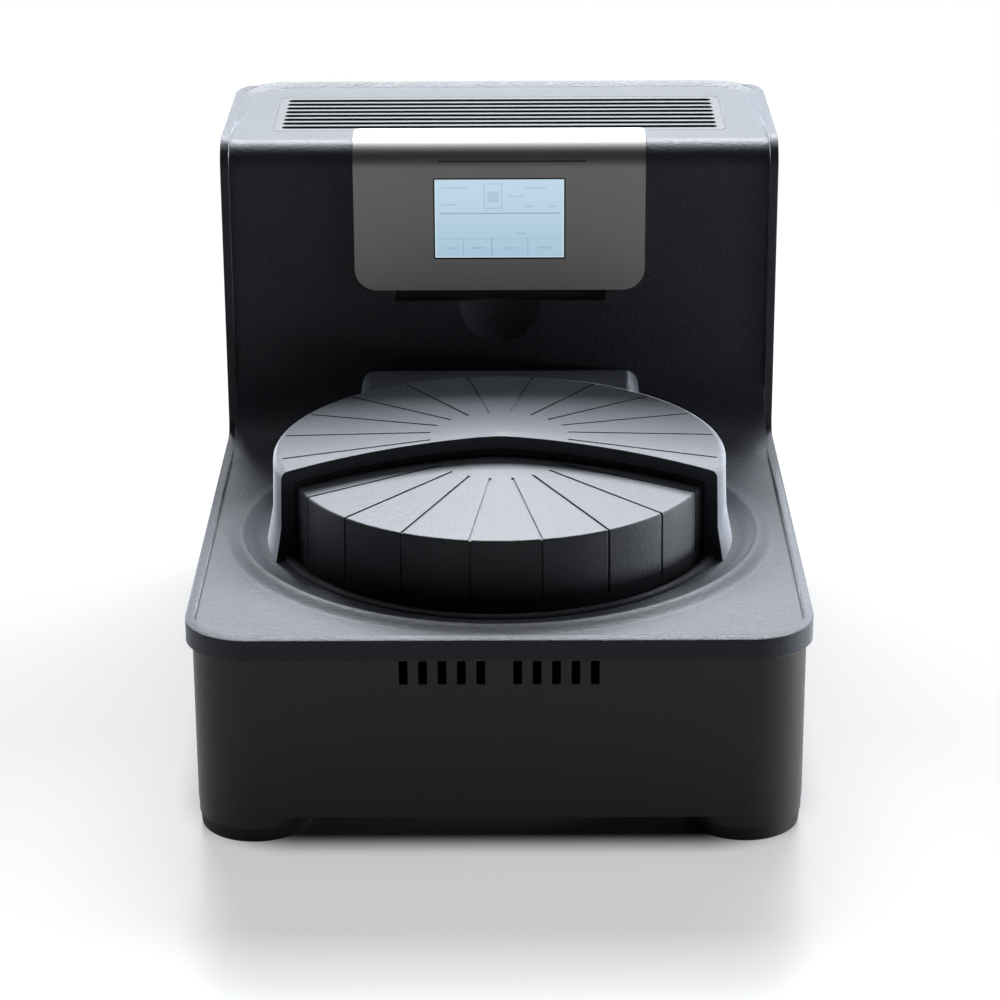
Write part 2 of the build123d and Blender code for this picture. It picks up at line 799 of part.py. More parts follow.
def cone_groove(apex_z, slope, start, end):
    """Straight groove cut into a shallow cone, pointing along +X."""
    length = end - start
    middle = (start + end) / 2
    cutter = Rot(0, math.degrees(math.atan(slope)), 0) * Box(length, groove_width, 2 * groove_depth)
    return Pos(middle, 0, apex_z - slope * middle) * cutter


def lid_height(radius):
    return lid_apex_z - lid_slope * radius


def make_hood_seal():
    """Rubber lip under the arch of the hood, just clear of the lid."""
    lip_radius = hood_edge_radius - hood_lip - fit_gap
    lip_under = hood_apex_z - hood_lip - fit_gap
    lid_out = lid_wall_foot_radius + seal_running_gap
    low = moat_floor_z + seal_foot_gap
    strip = turned([(0, lid_apex_z + seal_running_gap), (0, lip_under),
                    (lip_radius, lip_under - hood_slope * lip_radius), (lip_radius, low), (lid_out, low),
                    (lid_out, lid_height(lid_out) + seal_running_gap)],
                   [((lip_radius, lip_under - hood_slope * lip_radius), shell_rounding)])
    front_edge = Pos(0, -mill_y, 0)
    inner = arch_radius + seal_setback
    strip &= front_edge * (arch(inner + seal_width, 0, hood_apex_z) - arch(inner, -1, hood_apex_z + 1))
    return Pos(0, mill_y, 0) * strip


def make_turning_lid():
    edge = (lid_edge_radius, lid_height(lid_edge_radius))
    shell = turned([(0, lid_ring_top), (0, lid_apex_z), edge, (lid_wall_foot_radius, moat_floor_z),
                    (lid_wall_foot_radius, lid_ring_top)], [(edge, lid_edge_rounding)])
    inner = lid_edge_radius - lid_skin
    inner_edge = (inner, lid_height(inner) - lid_skin)
    shell -= turned([(0, lid_ring_top - 1), (0, lid_apex_z - lid_skin), inner_edge,
                     (inner, lid_ring_top - 1)], [(inner_edge, shell_rounding)])
    groove = cone_groove(lid_apex_z, lid_slope, lid_groove_start, lid_wall_foot_radius + 1)
    groove += block(lid_edge_radius - groove_depth, lid_wall_foot_radius + 1, -groove_width / 2,
                    groove_width / 2, lid_groove_foot_z, edge[1] + 1)
    for index in range(lid_groove_count):
        turn = -90 + lid_groove_turn + (index - (lid_groove_count - 1) / 2) * lid_groove_pitch
        shell -= Rot(0, 0, turn) * groove
    shell &= Pos(0, -mill_y, 0) * arch(arch_radius + lid_overlap, 0, lid_apex_z + 1)
    lid = shell + tube(lid_ring_outer, lid_ring_inner, lid_ring_bottom, lid_ring_top)
    half_notch = bolt_radius + notch_gap
    notch = block(lid_ring_outer - bolt_travel - notch_gap, lid_ring_outer + 1, -half_notch, half_notch,
                  lid_ring_bottom - 1, lock_z + half_notch)
    for turn in (90, -90):
        lid -= Rot(0, 0, turn) * notch
    return Pos(0, mill_y, 0) * lid


def make_lid_guide_ring():
    inner = lid_ring_outer + guide_gap
    base = tube(inner + guide_wall, lid_ring_inner, pan_top, pan_top + guide_thickness)
    wall_top = lid_ring_top + guide_wall_rise
    wall = tube(inner + guide_wall, inner, pan_top, wall_top)
    half_slot = bolt_radius + notch_gap
    slot = block(-half_slot, half_slot, lid_ring_inner - 1, inner + 2 * guide_wall, lock_z - half_slot,
                 wall_top + 1)
    return Pos(0, mill_y, 0) * (base + wall - slot)


def make_top_grille():
    gap = grille_gap
    frame = rounded_block(grille_width - 2 * gap, grille_front + gap, grille_front + grille_depth - gap,
                          grille_corner_radius - gap, roof_top - grille_plate, roof_top)
    pitch = (grille_depth - 2 * grille_ledge) / grille_slot_count
    slot_length = grille_width - 2 * (grille_ledge + grille_slot_margin)
    slot = extrude(SlotOverall(slot_length, grille_slot_width), amount=grille_plate + 2)
    for index in range(grille_slot_count):
        y = grille_front + grille_ledge + pitch * (index + 0.5)
        frame -= Pos(0, y, roof_top - grille_plate - 1) * slot
    return frame


def make_control_panel():
    """Front plate that bends over the top edge of the tower."""
    bend_y = tower_front + tower_edge_radius
    under_bend = tower_top - tower_edge_radius - 1
    seat_y = face_y - panel_gap
    seat_z = roof_top + panel_gap
    outer = outline([(tower_front, panel_bottom), (tower_front, tower_top), (panel_rear, tower_top),
                     (panel_rear, under_bend), (bend_y, under_bend), (bend_y, panel_bottom)],
                    [((tower_front, tower_top), tower_edge_radius)])
    inner = outline([(seat_y, panel_bottom - 1), (seat_y, seat_z), (panel_rear + 1, seat_z),
                     (panel_rear + 1, panel_bottom - 1)],
                    [((seat_y, seat_z), tower_edge_radius - tower_recess + panel_gap)])
    bent = extrude(Plane.YZ * (outer - inner), amount=panel_width / 2, both=True)
    bent = fillet(bent.edges().filter_by(Axis.Y).group_by(Axis.Z)[0], panel_corner_radius)
    bent = fillet(bent.edges().filter_by(Axis.Z).group_by(Axis.Y)[-1], panel_rear_radius)
    bent -= block(-window_width / 2, window_width / 2, tower_front - 1, face_y + 1,
                  window_bottom, window_bottom + window_height)
    return bent


def make_display_window():
    half_width = window_width / 2 - window_gap
    front = tower_front + window_setback
    return block(-half_width, half_width, front, front + window_thickness,
                 window_bottom + window_gap, window_bottom + window_height - window_gap)


def make_display_module():
    front = tower_front + window_setback + window_thickness
    half_width = window_width / 2 - window_gap
    module = block(-half_width, half_width, front, face_y, window_bottom + window_gap,
                   window_bottom + window_height - window_gap)
    half_width = module_half_width - module_gap
    margin = module_margin - module_gap
    module += block(-half_width, half_width, face_y, face_y + module_depth, window_bottom - margin,
                    window_bottom + window_height + margin)
    return module


def make_control_board():
    front = face_y + module_depth
    board = block(-board_width / 2, board_width / 2, front + standoff_length,
                  front + standoff_length + board_thickness, board_bottom, board_bottom + board_height)
    standoff = Rot(-90, 0, 0) * drum(standoff_radius, 0, standoff_length)
    for x in (-standoff_x, standoff_x):
        for rise in (standoff_low, standoff_high):
            board += Pos(x, front, window_bottom + rise) * standoff
    back = front + standoff_length + board_thickness
    for x_low, x_high, z_low, z_high, depth in board_components:
        board += block(x_low, x_high, back, back + depth, board_bottom + z_low, board_bottom + z_high)
    return board


# Mains inlet and switch

def make_mains_inlet():
    half_w = inlet_width / 2
    half_h = inlet_height / 2
    mouth = inlet_flange_thickness
    floor = mouth - socket_depth
    flange = block(-inlet_flange_width / 2, inlet_flange_width / 2, 0, mouth, -inlet_flange_height / 2,
                   inlet_flange_height / 2)
    body = block(-half_w, half_w, -inlet_depth, mouth / 2, -half_h, half_h)
    recess = block(-half_w + socket_wall, half_w - socket_wall, floor, mouth + 1,
                   -half_h + socket_wall, half_h - socket_wall)
    inlet = flange + body - recess
    for x, z in ((-blade_pitch, -live_drop), (blade_pitch, -live_drop), (0, earth_rise)):
        inlet += block(x - blade_width / 2, x + blade_width / 2, floor - 1, floor + blade_length - 1,
                       z - blade_height / 2, z + blade_height / 2)
    return Pos(inlet_x, housing_rear, inlet_z) * inlet


def make_switch_frame():
    half_w = switch_width / 2
    half_h = switch_height / 2
    mouth = switch_bezel_thickness
    wall = switch_wall
    bezel = block(-half_w - switch_bezel, half_w + switch_bezel, 0, mouth, -half_h - switch_bezel,
                  half_h + switch_bezel)
    body = block(-half_w, half_w, -switch_depth, mouth / 2, -half_h, half_h)
    well = block(-half_w + wall, half_w - wall, -switch_depth + wall, mouth + 1, -half_h + wall,
                 half_h - wall)
    frame = Pos(switch_x, housing_rear, inlet_z) * (bezel + body - well)
    pin_hole = Rot(0, 90, 0) * drum(rocker_pin_radius + running_gap, -half_w - 1, half_w + 1)
    return frame - Pos(*rocker_pivot()) * pin_hole


def rocker_pivot():
    return (switch_x, housing_rear - rocker_depth, inlet_z)


def make_switch_rocker():
    """Rocker that turns about a pin in the sides of its frame."""
    half_w = switch_width / 2 - switch_wall - rocker_gap
    reach = switch_height / 2 - switch_wall - rocker_end_gap
    foot = rocker_foot
    profile = outline([(-foot, -foot), (foot, -foot), (rocker_depth, -reach), (rocker_rise, 1 - reach),
                       (rocker_waist, 0), (rocker_rise, reach - 1), (rocker_depth, reach), (-foot, foot)],
                      [((rocker_waist, 0), rocker_blend)])
    rocker = extrude(Plane.YZ * profile, amount=half_w, both=True)
    pin_half = half_w + rocker_gap + rocker_pin_depth
    rocker += Rot(0, 90, 0) * drum(rocker_pin_radius, -pin_half, pin_half)
    return Pos(*rocker_pivot()) * rocker


# Base and drive frame

def pillar_places():
    return [(side * pillar_x, y) for side in sides.values() for y in pillar_rows]


def make_deck_pillars():
    pillar = tube(pillar_radius, screw_radius, base_plate_top, deck_bottom)
    return Compound(children=[Pos(x, y, 0) * pillar for x, y in pillar_places()])


def make_drive_deck():
    deck = rounded_block(deck_width, deck_front, deck_rear, deck_corner, deck_bottom, deck_top)
    deck -= drum(bearing_housing_radius + face_gap, deck_bottom - 1, deck_top + 1, 0, mill_y)
    deck -= drum(motor_shaft_radius + motor_shaft_hole_gap, deck_bottom - 1, deck_top + 1, 0, motor_y)
    for x, y in pillar_places():
        deck -= drum(screw_radius, deck_bottom - 1, deck_top + 1, x, y)
    cable_slot = SlotOverall(deck_cable_slot_length, deck_cable_slot_width)
    for side in sides.values():
        place = Pos(side * deck_cable_slot_x, motor_y - deck_cable_slot_lead, deck_bottom - 1)
        deck -= place * extrude(cable_slot, amount=deck_thickness + 2)
    return deck


def make_chamber_pan():
    """Sheet pot round the disk, with a flange under the guide ring of the lid."""
    hole = bearing_flange_radius + pan_hole_gap
    inner = pan_radius - pan_skin
    return turned([(hole, deck_top), (pan_radius, deck_top), (pan_radius, pan_top - pan_skin),
                   (pan_flange_radius, pan_top - pan_skin), (pan_flange_radius, pan_top),
                   (inner, pan_top), (inner, deck_top + pan_skin), (hole, deck_top + pan_skin)],
                  [((pan_radius, deck_top), pan_corner),
                   ((inner, deck_top + pan_skin), pan_corner - pan_skin)], 0, mill_y)


def make_bearing_housing():
    bore = bearing_radius + fit_gap
    lip = bearing_radius - bearing_lip
    return turned([(lip, bearing_bottom), (bearing_housing_radius, bearing_bottom),
                   (bearing_housing_radius, deck_top), (bearing_flange_radius, deck_top),
                   (bearing_flange_radius, bearing_top), (bore, bearing_top), (bore, upper_bearing),
                   (lip, upper_bearing), (lip, lower_bearing + bearing_width),
                   (bore, lower_bearing + bearing_width), (bore, lower_bearing), (lip, lower_bearing)],
                  [], 0, mill_y)


def make_main_bearings():
    rings = []
    shield_outer = bearing_radius - bearing_shield_inset
    shield_inner = shaft_radius + bearing_shield_rise
    for level in (lower_bearing, upper_bearing):
        ring = tube(bearing_radius, shaft_radius + running_gap, level, level + bearing_width, 0, mill_y)
        for face in (level, level + bearing_width):
            ring -= tube(shield_outer, shield_inner, face - bearing_shield_depth,
                         face + bearing_shield_depth, 0, mill_y)
        rings.append(ring)
    return Compound(children=rings)


def toothed_face(teeth, tip, z_low):
    """One toothed track with a flange below it."""
    pitch_angle = 360 / teeth
    gap_width = 2 * math.pi * tip / teeth * tooth_gap_share
    plan = Circle(tip) - PolarLocations(tip, teeth, 0, 360) * Rectangle(2 * tooth_depth, gap_width)
    track = extrude(plan, amount=pulley_face)
    flange = drum(tip + pulley_flange_rise, z_low, z_low + pulley_flange)
    return Pos(0, 0, z_low + pulley_flange) * track + flange


def make_sun_pulley():
    pulley = None
    for level in level_bottoms:
        track = toothed_face(sun_teeth, sun_tip, level)
        pulley = track if pulley is None else pulley + track
    pulley += drum(sun_tip + pulley_flange_rise, sun_top - pulley_flange, sun_top)
    pulley -= drum(shaft_radius + sun_bore_gap, bearing_top - 1, sun_top + 1)
    return Pos(0, mill_y, 0) * pulley


def planet_x(side):
    return sides[side] * planet_offset


def planet_level(side):
    return level_bottoms[0] if side == "left" else level_bottoms[1]


def make_planet_pulley(side):
    level = planet_level(side)
    top = level + level_height + pulley_flange
    pulley = toothed_face(planet_teeth, planet_tip, level)
    pulley += drum(planet_tip + pulley_flange_rise, top - pulley_flange, top)
    pulley -= drum(spindle_radius + fit_gap, level - 1, top + 1)
    return Pos(planet_x(side), mill_y, 0) * pulley


def make_planet_belts():
    belts = []
    for side in sides:
        low = planet_level(side) + pulley_flange + (pulley_face - belt_width) / 2
        belts.append(band((0, mill_y), sun_tip + belt_gap, (planet_x(side), mill_y), planet_tip + belt_gap,
                          belt_thickness, low, low + belt_width))
    return Compound(children=belts)


def grooved_pulley(tip, bore, x, y):
    """V-grooved drive pulley with a flange at each end and a thin web."""
    low = drive_pulley_bottom
    high = drive_pulley_top
    rise = tip + pulley_flange_rise
    pitch = drive_face / drive_groove_count
    points = [(bore, low), (rise, low), (rise, low + pulley_flange)]
    for index in range(drive_groove_count):
        start = low + pulley_flange + index * pitch
        points.append((tip, start))
        points.append((tip - drive_groove_depth, start + pitch / 2))
    points += [(tip, high - pulley_flange), (rise, high - pulley_flange), (rise, high), (bore, high)]
    pulley = turned(points)
    hub = bore + pulley_hub_wall
    rim = tip - drive_groove_depth - pulley_rim_wall
    if rim > hub:
        middle = (low + high) / 2
        for z_low, z_high in ((low - 1, middle - pulley_web / 2), (middle + pulley_web / 2, high + 1)):
            pulley -= tube(rim, hub, z_low, z_high)
    return Pos(x, y, 0) * pulley


def make_main_pulley():
    pulley = grooved_pulley(main_pulley_radius, shaft_radius + fit_gap, 0, mill_y)
    middle = (main_pulley_radius + shaft_radius) / 2
    hole = drum(pulley_hole_radius, drive_pulley_bottom - 1, drive_pulley_top + 1)
    for location in PolarLocations(middle, pulley_hole_count):
        pulley -= Pos(0, mill_y, 0) * location * hole
    return pulley


def make_motor_pulley():
    return grooved_pulley(motor_pulley_radius, motor_shaft_radius + fit_gap, 0, motor_y)


def make_drive_belt():
    low = drive_pulley_bottom + pulley_flange + (drive_face - drive_belt_width) / 2
    return band((0, mill_y), main_pulley_radius + belt_gap, (0, motor_y), motor_pulley_radius + belt_gap,
                drive_belt_thickness, low, low + drive_belt_width)


def make_main_shaft():
    """Stepped shaft: nut under the pulley, spacer up to the bearings, flange under the disk."""
    nut_low = drive_pulley_bottom - shaft_nut_height
    shaft = drum(shaft_radius, nut_low, disk_top + shaft_top_stub, 0, mill_y)
    shaft += drum(shaft_radius + shaft_nut_rise, nut_low, drive_pulley_bottom, 0, mill_y)
    shaft += drum(shaft_radius + shaft_collar_rise, drive_pulley_top, lower_bearing - face_gap, 0, mill_y)
    return shaft + drum(shaft_flange_radius, disk_bottom - shaft_flange_thickness, disk_bottom, 0, mill_y)


def make_main_disk():
    top = disk_top
    web_top = disk_bottom + disk_web
    rim_inner = disk_radius - disk_rim_width
    disk = turned([(0, disk_bottom), (disk_radius, disk_bottom), (disk_radius, top), (rim_inner, top),
                   (rim_inner - disk_rim_slope, web_top), (disk_hub_radius + disk_rim_slope, web_top),
                   (disk_hub_radius, top), (0, top)],
                  [((disk_radius, top), disk_edge_rounding)])
    for x in (-planet_offset, planet_offset):
        disk += drum(planet_bearing_radius + planet_boss_wall, disk_bottom, top, x)
        disk -= drum(planet_bearing_radius + fit_gap, disk_bottom - 1, top + 1, x)
    pocket = drum(disk_pocket_radius, disk_bottom - 1, top + 1, disk_pocket_ring)
    for middle in (90, 270):
        for turn in (middle - disk_pocket_turn, middle, middle + disk_pocket_turn):
            disk -= Rot(0, 0, turn) * pocket
    disk -= drum(shaft_radius + fit_gap, disk_bottom - 1, top + 1)
    return Pos(0, mill_y, 0) * disk


def make_hub_cap():
    low = disk_top
    high = low + hub_cap_height
    radius = hub_cap_radius
    cap = turned([(0, low), (radius, low), (radius, high), (0, high)], [((radius, high), hub_cap_rounding)])
    cap -= drum(shaft_radius + face_gap, low - 1, low + hub_cap_recess)
    flute = drum(hub_cap_flute_radius, low - 1, high + 1)
    for location in PolarLocations(radius, hub_cap_flutes):
        cap -= location * flute
    return Pos(0, mill_y, 0) * cap


# Planets: spindle, holder, bowl, seal, bowl lid and clamp

def make_planet_spindle(side):
    """Spindle from the pulley up through the disk bearing to a flange under the holder."""
    level = planet_level(side)
    pulley_top = level + level_height + pulley_flange
    spindle = drum(spindle_radius, level, holder_bottom)
    spindle += drum(spindle_collar_radius, pulley_top, planet_bearing_low - face_gap)
    spindle += drum(spindle_flange_radius, planet_bearing_high + face_gap, holder_bottom)
    return Pos(planet_x(side), mill_y, 0) * spindle


def make_planet_bearings():
    ring = tube(planet_bearing_radius, spindle_radius + running_gap, planet_bearing_low, planet_bearing_high)
    return Compound(children=[Pos(planet_x(side), mill_y, 0) * ring for side in sides])


def make_bowl_holder(side):
    """Open cage round the bowl, with three inward lugs that the clamp locks under."""
    outer = holder_outer
    lug_low = holder_top - holder_lug_height
    cup = turned([(0, holder_bottom), (outer, holder_bottom), (outer, holder_top),
                  (holder_lug_inner, holder_top), (holder_lug_inner, lug_low), (holder_inner, lug_low),
                  (holder_inner, holder_seat), (0, holder_seat)],
                 [((outer, holder_bottom), holder_foot_rounding), ((outer, holder_top), bowl_edge_rounding)])
    seat_outer = holder_inner + holder_wall / 2
    cup += tube(seat_outer, bowl_radius + bowl_seat_gap, holder_seat, holder_seat + bowl_seat_height)
    lug_pitch = 360 / lug_count
    for index in range(lug_count):
        middle = (index + 0.5) * lug_pitch
        lug_gap = sector(holder_inner, lug_pitch - holder_lug_angle, middle, lug_low, holder_top + 1)
        cup -= lug_gap & drum(holder_inner, holder_seat, holder_top + 1)
        window = sector(outer + holder_wall, holder_window_angle, middle, holder_seat + holder_window_bottom,
                        holder_seat + holder_window_top)
        cup -= window - drum(bowl_radius + bowl_seat_gap, holder_bottom, holder_top)
    return Pos(planet_x(side), mill_y, 0) * cup


def make_bowl(side):
    floor = holder_seat + bowl_floor
    bowl = turned([(0, holder_seat), (bowl_radius, holder_seat), (bowl_radius, bowl_rim),
                   (bowl_bore, bowl_rim), (bowl_bore, floor), (0, floor)],
                  [((bowl_bore, floor), bowl_corner), ((bowl_radius, holder_seat), bowl_edge_rounding),
                   ((bowl_radius, bowl_rim), bowl_edge_rounding)])
    return Pos(planet_x(side), mill_y, 0) * bowl


def make_bowl_seal(side):
    return tube(bowl_radius - seal_inset, bowl_bore + seal_inset, bowl_rim, bowl_lid_bottom,
                planet_x(side), mill_y)


def make_bowl_lid(side):
    plug = bowl_bore - bowl_plug_gap
    lid = turned([(0, bowl_lid_bottom - bowl_plug_depth), (plug, bowl_lid_bottom - bowl_plug_depth),
                  (plug, bowl_lid_bottom), (bowl_radius, bowl_lid_bottom),
                  (bowl_radius, bowl_lid_top - bowl_lid_chamfer),
                  (bowl_radius - bowl_lid_chamfer_run, bowl_lid_top), (0, bowl_lid_top)])
    return Pos(planet_x(side), mill_y, 0) * lid


def make_bowl_clamp(side):
    """Bayonet clamp with three lugs under the lugs of the holder and a bar to turn it by."""
    clamp = drum(clamp_plate_radius, clamp_bottom, holder_top - clamp_top_drop)
    lugs = drum(clamp_lug_radius, clamp_bottom, clamp_lug_top)
    lug_pitch = 360 / lug_count
    for index in range(lug_count):
        lugs -= sector(clamp_lug_radius, lug_pitch - clamp_lug_angle, (index + 0.5) * lug_pitch,
                       clamp_bottom - 1, holder_top + 1)
    clamp += lugs
    clamp -= tube(clamp_plate_radius - clamp_rim, clamp_hub_radius, clamp_recess_floor, holder_top + 1)
    handle = SlotOverall(clamp_handle_length, clamp_handle_width)
    clamp += Pos(0, 0, clamp_recess_floor) * extrude(handle, amount=clamp_handle_height)
    return Pos(planet_x(side), mill_y, 0) * clamp


def make_grinding_balls(side):
    z = holder_seat + bowl_floor + ball_radius + ball_gap
    balls = []
    for index in range(ball_count):
        turn = math.radians(index * 360 / ball_count + ball_turn)
        place = Pos(planet_x(side) + ball_ring * math.cos(turn), mill_y + ball_ring * math.sin(turn), z)
        balls.append(place * Sphere(ball_radius))
    return Compound(children=balls)


# Motor, inverter and fan

def make_motor_body():
    low = deck_top
    flange_width = 2 * (motor_radius + motor_flange_margin)
    body = drum(motor_radius, low + motor_flange_thickness, low + motor_height)
    flange = RectangleRounded(flange_width, flange_width, motor_flange_corner)
    body += Pos(0, 0, low) * extrude(flange, amount=motor_flange_thickness)
    fin = block(motor_radius - motor_fin_width, motor_radius + motor_fin_height, -motor_fin_width / 2,
                motor_fin_width / 2, low + motor_flange_thickness + motor_fin_lift,
                low + motor_height - motor_fin_drop)
    for index in range(motor_fin_count):
        body += Rot(0, 0, index * 360 / motor_fin_count) * fin
    body = fillet(body.faces().sort_by(Axis.Z)[-1].edges(), motor_top_rounding)
    body -= drum(motor_shaft_radius + running_gap, low - 1, low + motor_shaft_depth + 1)
    return Pos(0, motor_y, 0) * body


def make_motor_shaft():
    shaft = drum(motor_shaft_radius, drive_pulley_bottom - 1, deck_top + motor_shaft_depth, 0, motor_y)
    return shaft + drum(motor_shaft_radius + motor_collar_rise, drive_pulley_top,
                        drive_pulley_top + motor_collar_height, 0, motor_y)


def make_motor_inverter():
    low = deck_top
    body = rounded_block(inverter_width - heatsink_height, inverter_y - inverter_depth / 2,
                         inverter_y + inverter_depth / 2, inverter_corner, low, low + inverter_height)
    body = Pos(heatsink_height / 2, 0, 0) * body
    half = inverter_width / 2
    pitch = (inverter_depth - heatsink_fin_width) / (heatsink_fins - 1)
    for index in range(heatsink_fins):
        y = inverter_y - inverter_depth / 2 + index * pitch
        body += block(-half, -half + heatsink_height + 1, y, y + heatsink_fin_width, low,
                      low + inverter_height - heatsink_drop)
    return Pos(inverter_x, 0, 0) * body


def make_fan_frame():
    low = fan_top - fan_thickness
    frame = rounded_block(fan_size, fan_y - fan_size / 2, fan_y + fan_size / 2, fan_corner, low, fan_top)
    frame -= drum(fan_bore, low - 1, fan_top + 1, 0, fan_y)
    hub = drum(fan_hub_radius, low, low + fan_hub_floor, 0, fan_y)
    strut = block(0, fan_bore + 1, -fan_strut_width / 2, fan_strut_width / 2, low, low + fan_strut_height)
    for turn in (45, 135, 225, 315):
        hub += Pos(0, fan_y, 0) * Rot(0, 0, turn) * strut
    hub -= drum(fan_axle_radius + running_gap, low - 1, low + fan_hub_floor + 1, 0, fan_y)
    return frame + hub


def make_fan_rotor():
    """Hub with swept blades, pitched about their own length."""
    low = fan_top - fan_thickness
    hub_low = low + fan_hub_lift
    hub_high = fan_top - fan_hub_drop
    hub = drum(fan_hub_radius, hub_low, hub_high)
    hub += drum(fan_axle_radius, low + 1, hub_low)
    root = fan_hub_radius - fan_blade_root
    span = fan_bore - root
    blade = Rot(fan_blade_pitch, 0, 0) * Box(span, fan_blade_chord, fan_blade_thickness)
    blade = Pos(root + span / 2, 0, (hub_low + hub_high) / 2) * blade
    ring = drum(fan_bore - fan_tip_gap, hub_low + face_gap, hub_high)
    for index in range(fan_blade_count):
        hub += (Rot(0, 0, index * 360 / fan_blade_count) * blade) & ring
    return Pos(0, fan_y, 0) * hub


def make_fan_bracket():
    """Tray that hangs the fan from the roof ledges in front of and behind the grille opening."""
    half = fan_size / 2 + fan_side_gap
    reach = half + fan_bracket_thickness
    half_width = half - fan_bracket_inset
    tray_top = fan_top + fan_bracket_thickness
    tray = block(-half_width, half_width, fan_y - reach, fan_y + reach, fan_top, tray_top)
    tray -= drum(fan_bore, fan_top - 1, tray_top + 1, 0, fan_y)
    for side in sides.values():
        y_low, y_high = sorted((fan_y + side * half, fan_y + side * reach))
        tray += block(-half_width, half_width, y_low, y_high, fan_top, roof_under)
    return tray


# Lid lock

def bolt_tip_y():
    return mill_y + lid_ring_outer + bolt_rest_gap


def make_lock_bolt():
    tip = bolt_tip_y()
    bolt = Pos(0, tip + bolt_length / 2, lock_z) * Rot(90, 0, 0) * Cylinder(bolt_radius, bolt_length)
    return fillet(bolt.edges().sort_by(Axis.Y)[0], bolt_nose_rounding)


def make_lock_housing():
    front = mill_y + pan_flange_radius + lock_pan_gap
    back = front + lock_length
    half_width = lock_width / 2
    foot_half = half_width + lock_foot_margin
    body = block(-half_width, half_width, front, back, lock_z - lock_height / 2, lock_z + lock_height / 2)
    foot = block(-foot_half, foot_half, back - lock_foot_length, back, deck_top,
                 deck_top + lock_foot_thickness)
    web = block(-half_width, half_width, back - lock_foot_thickness, back, deck_top, lock_z)
    housing = body + foot + web
    depth = bolt_tip_y() + bolt_length + bolt_end_gap - front
    bore = Pos(0, front + depth / 2 - 0.5, lock_z) * Rot(90, 0, 0)
    return housing - bore * Cylinder(bolt_radius + running_gap, depth + 1)


pieces = {
    "lower_housing": make_lower_housing(),
    "base_plate": make_base_plate(),
    "corner_legs": make_corner_legs(),
    "foot_front_left": make_foot(-leg_x, leg_front_y),
    "foot_front_right": make_foot(leg_x, leg_front_y),
    "foot_rear_left": make_foot(-leg_x, leg_rear_y),
    "foot_rear_right": make_foot(leg_x, leg_rear_y),
    "upper_cover": make_upper_cover(),
    "chamber_hood": make_chamber_hood(),
    "hood_seal": make_hood_seal(),
    "turning_lid": make_turning_lid(),
    "lid_guide_ring": make_lid_guide_ring(),
    "top_grille": make_top_grille(),
    "control_panel": make_control_panel(),
    "display_window": make_display_window(),
    "display_module": make_display_module(),
    "control_board": make_control_board(),
    "rear_panel": make_rear_panel(),
    "panel_screws": make_panel_screws(),
    "mains_inlet": make_mains_inlet(),
    "switch_frame": make_switch_frame(),
    "switch_rocker": make_switch_rocker(),
    "deck_pillars": make_deck_pillars(),
    "drive_deck": make_drive_deck(),
    "chamber_pan": make_chamber_pan(),
    "bearing_housing": make_bearing_housing(),
    "main_bearings": make_main_bearings(),
    "sun_pulley": make_sun_pulley(),
    "main_pulley": make_main_pulley(),
    "main_shaft": make_main_shaft(),
    "main_disk": make_main_disk(),
    "hub_cap": make_hub_cap(),
    "planet_belts": make_planet_belts(),
    "planet_bearings": make_planet_bearings(),
    "drive_belt": make_drive_belt(),
    "motor_body": make_motor_body(),
    "motor_shaft": make_motor_shaft(),
    "motor_pulley": make_motor_pulley(),
    "motor_inverter": make_motor_inverter(),
    "fan_bracket": make_fan_bracket(),
    "fan_frame": make_fan_frame(),
    "fan_rotor": make_fan_rotor(),
    "lock_housing": make_lock_housing(),
    "lock_bolt": make_lock_bolt(),
}
for side in sides:
    pieces["planet_pulley_" + side] = make_planet_pulley(side)
    pieces["planet_spindle_" + side] = make_planet_spindle(side)
    pieces["bowl_holder_" + side] = make_bowl_holder(side)
    pieces["bowl_" + side] = make_bowl(side)
    pieces["bowl_seal_" + side] = make_bowl_seal(side)
    pieces["bowl_lid_" + side] = make_bowl_lid(side)
    pieces["bowl_clamp_" + side] = make_bowl_clamp(side)
    pieces["grinding_balls_" + side] = make_grinding_balls(side)

os.makedirs("parts", exist_ok=True)
for name, piece in pieces.items():
    export_step(piece, "parts/" + name + ".step")
print(len(pieces), "pieces written")
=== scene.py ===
# Planetary ball mill: camera, finishes, trim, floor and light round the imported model.
# Lengths are in metres, colours are linear.
import json

import bpy
import numpy as np
from mathutils import Matrix, Vector


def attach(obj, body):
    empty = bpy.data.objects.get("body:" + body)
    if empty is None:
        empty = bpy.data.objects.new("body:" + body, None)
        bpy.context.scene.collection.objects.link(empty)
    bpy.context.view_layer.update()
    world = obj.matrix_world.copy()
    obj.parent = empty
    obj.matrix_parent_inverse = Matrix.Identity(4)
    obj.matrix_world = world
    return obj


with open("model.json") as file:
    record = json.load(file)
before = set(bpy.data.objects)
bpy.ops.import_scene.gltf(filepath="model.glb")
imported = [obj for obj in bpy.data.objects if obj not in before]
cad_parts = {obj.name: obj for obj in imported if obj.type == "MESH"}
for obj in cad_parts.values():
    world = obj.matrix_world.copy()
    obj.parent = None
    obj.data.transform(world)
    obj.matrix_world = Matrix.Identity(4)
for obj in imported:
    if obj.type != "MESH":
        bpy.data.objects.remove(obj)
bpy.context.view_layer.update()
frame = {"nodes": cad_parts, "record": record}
print("frame loaded:", len(frame["nodes"]), "nodes")


# camera: its place, tilt in degrees and lens, fitted to the photo's straight edges
view = {"place": (0.008, -2.117, 0.930), "pitch": 20.75, "yaw": -0.22, "roll": -0.26,
        "lens": 114.62, "sensor": 36.0, "farthest": 60}


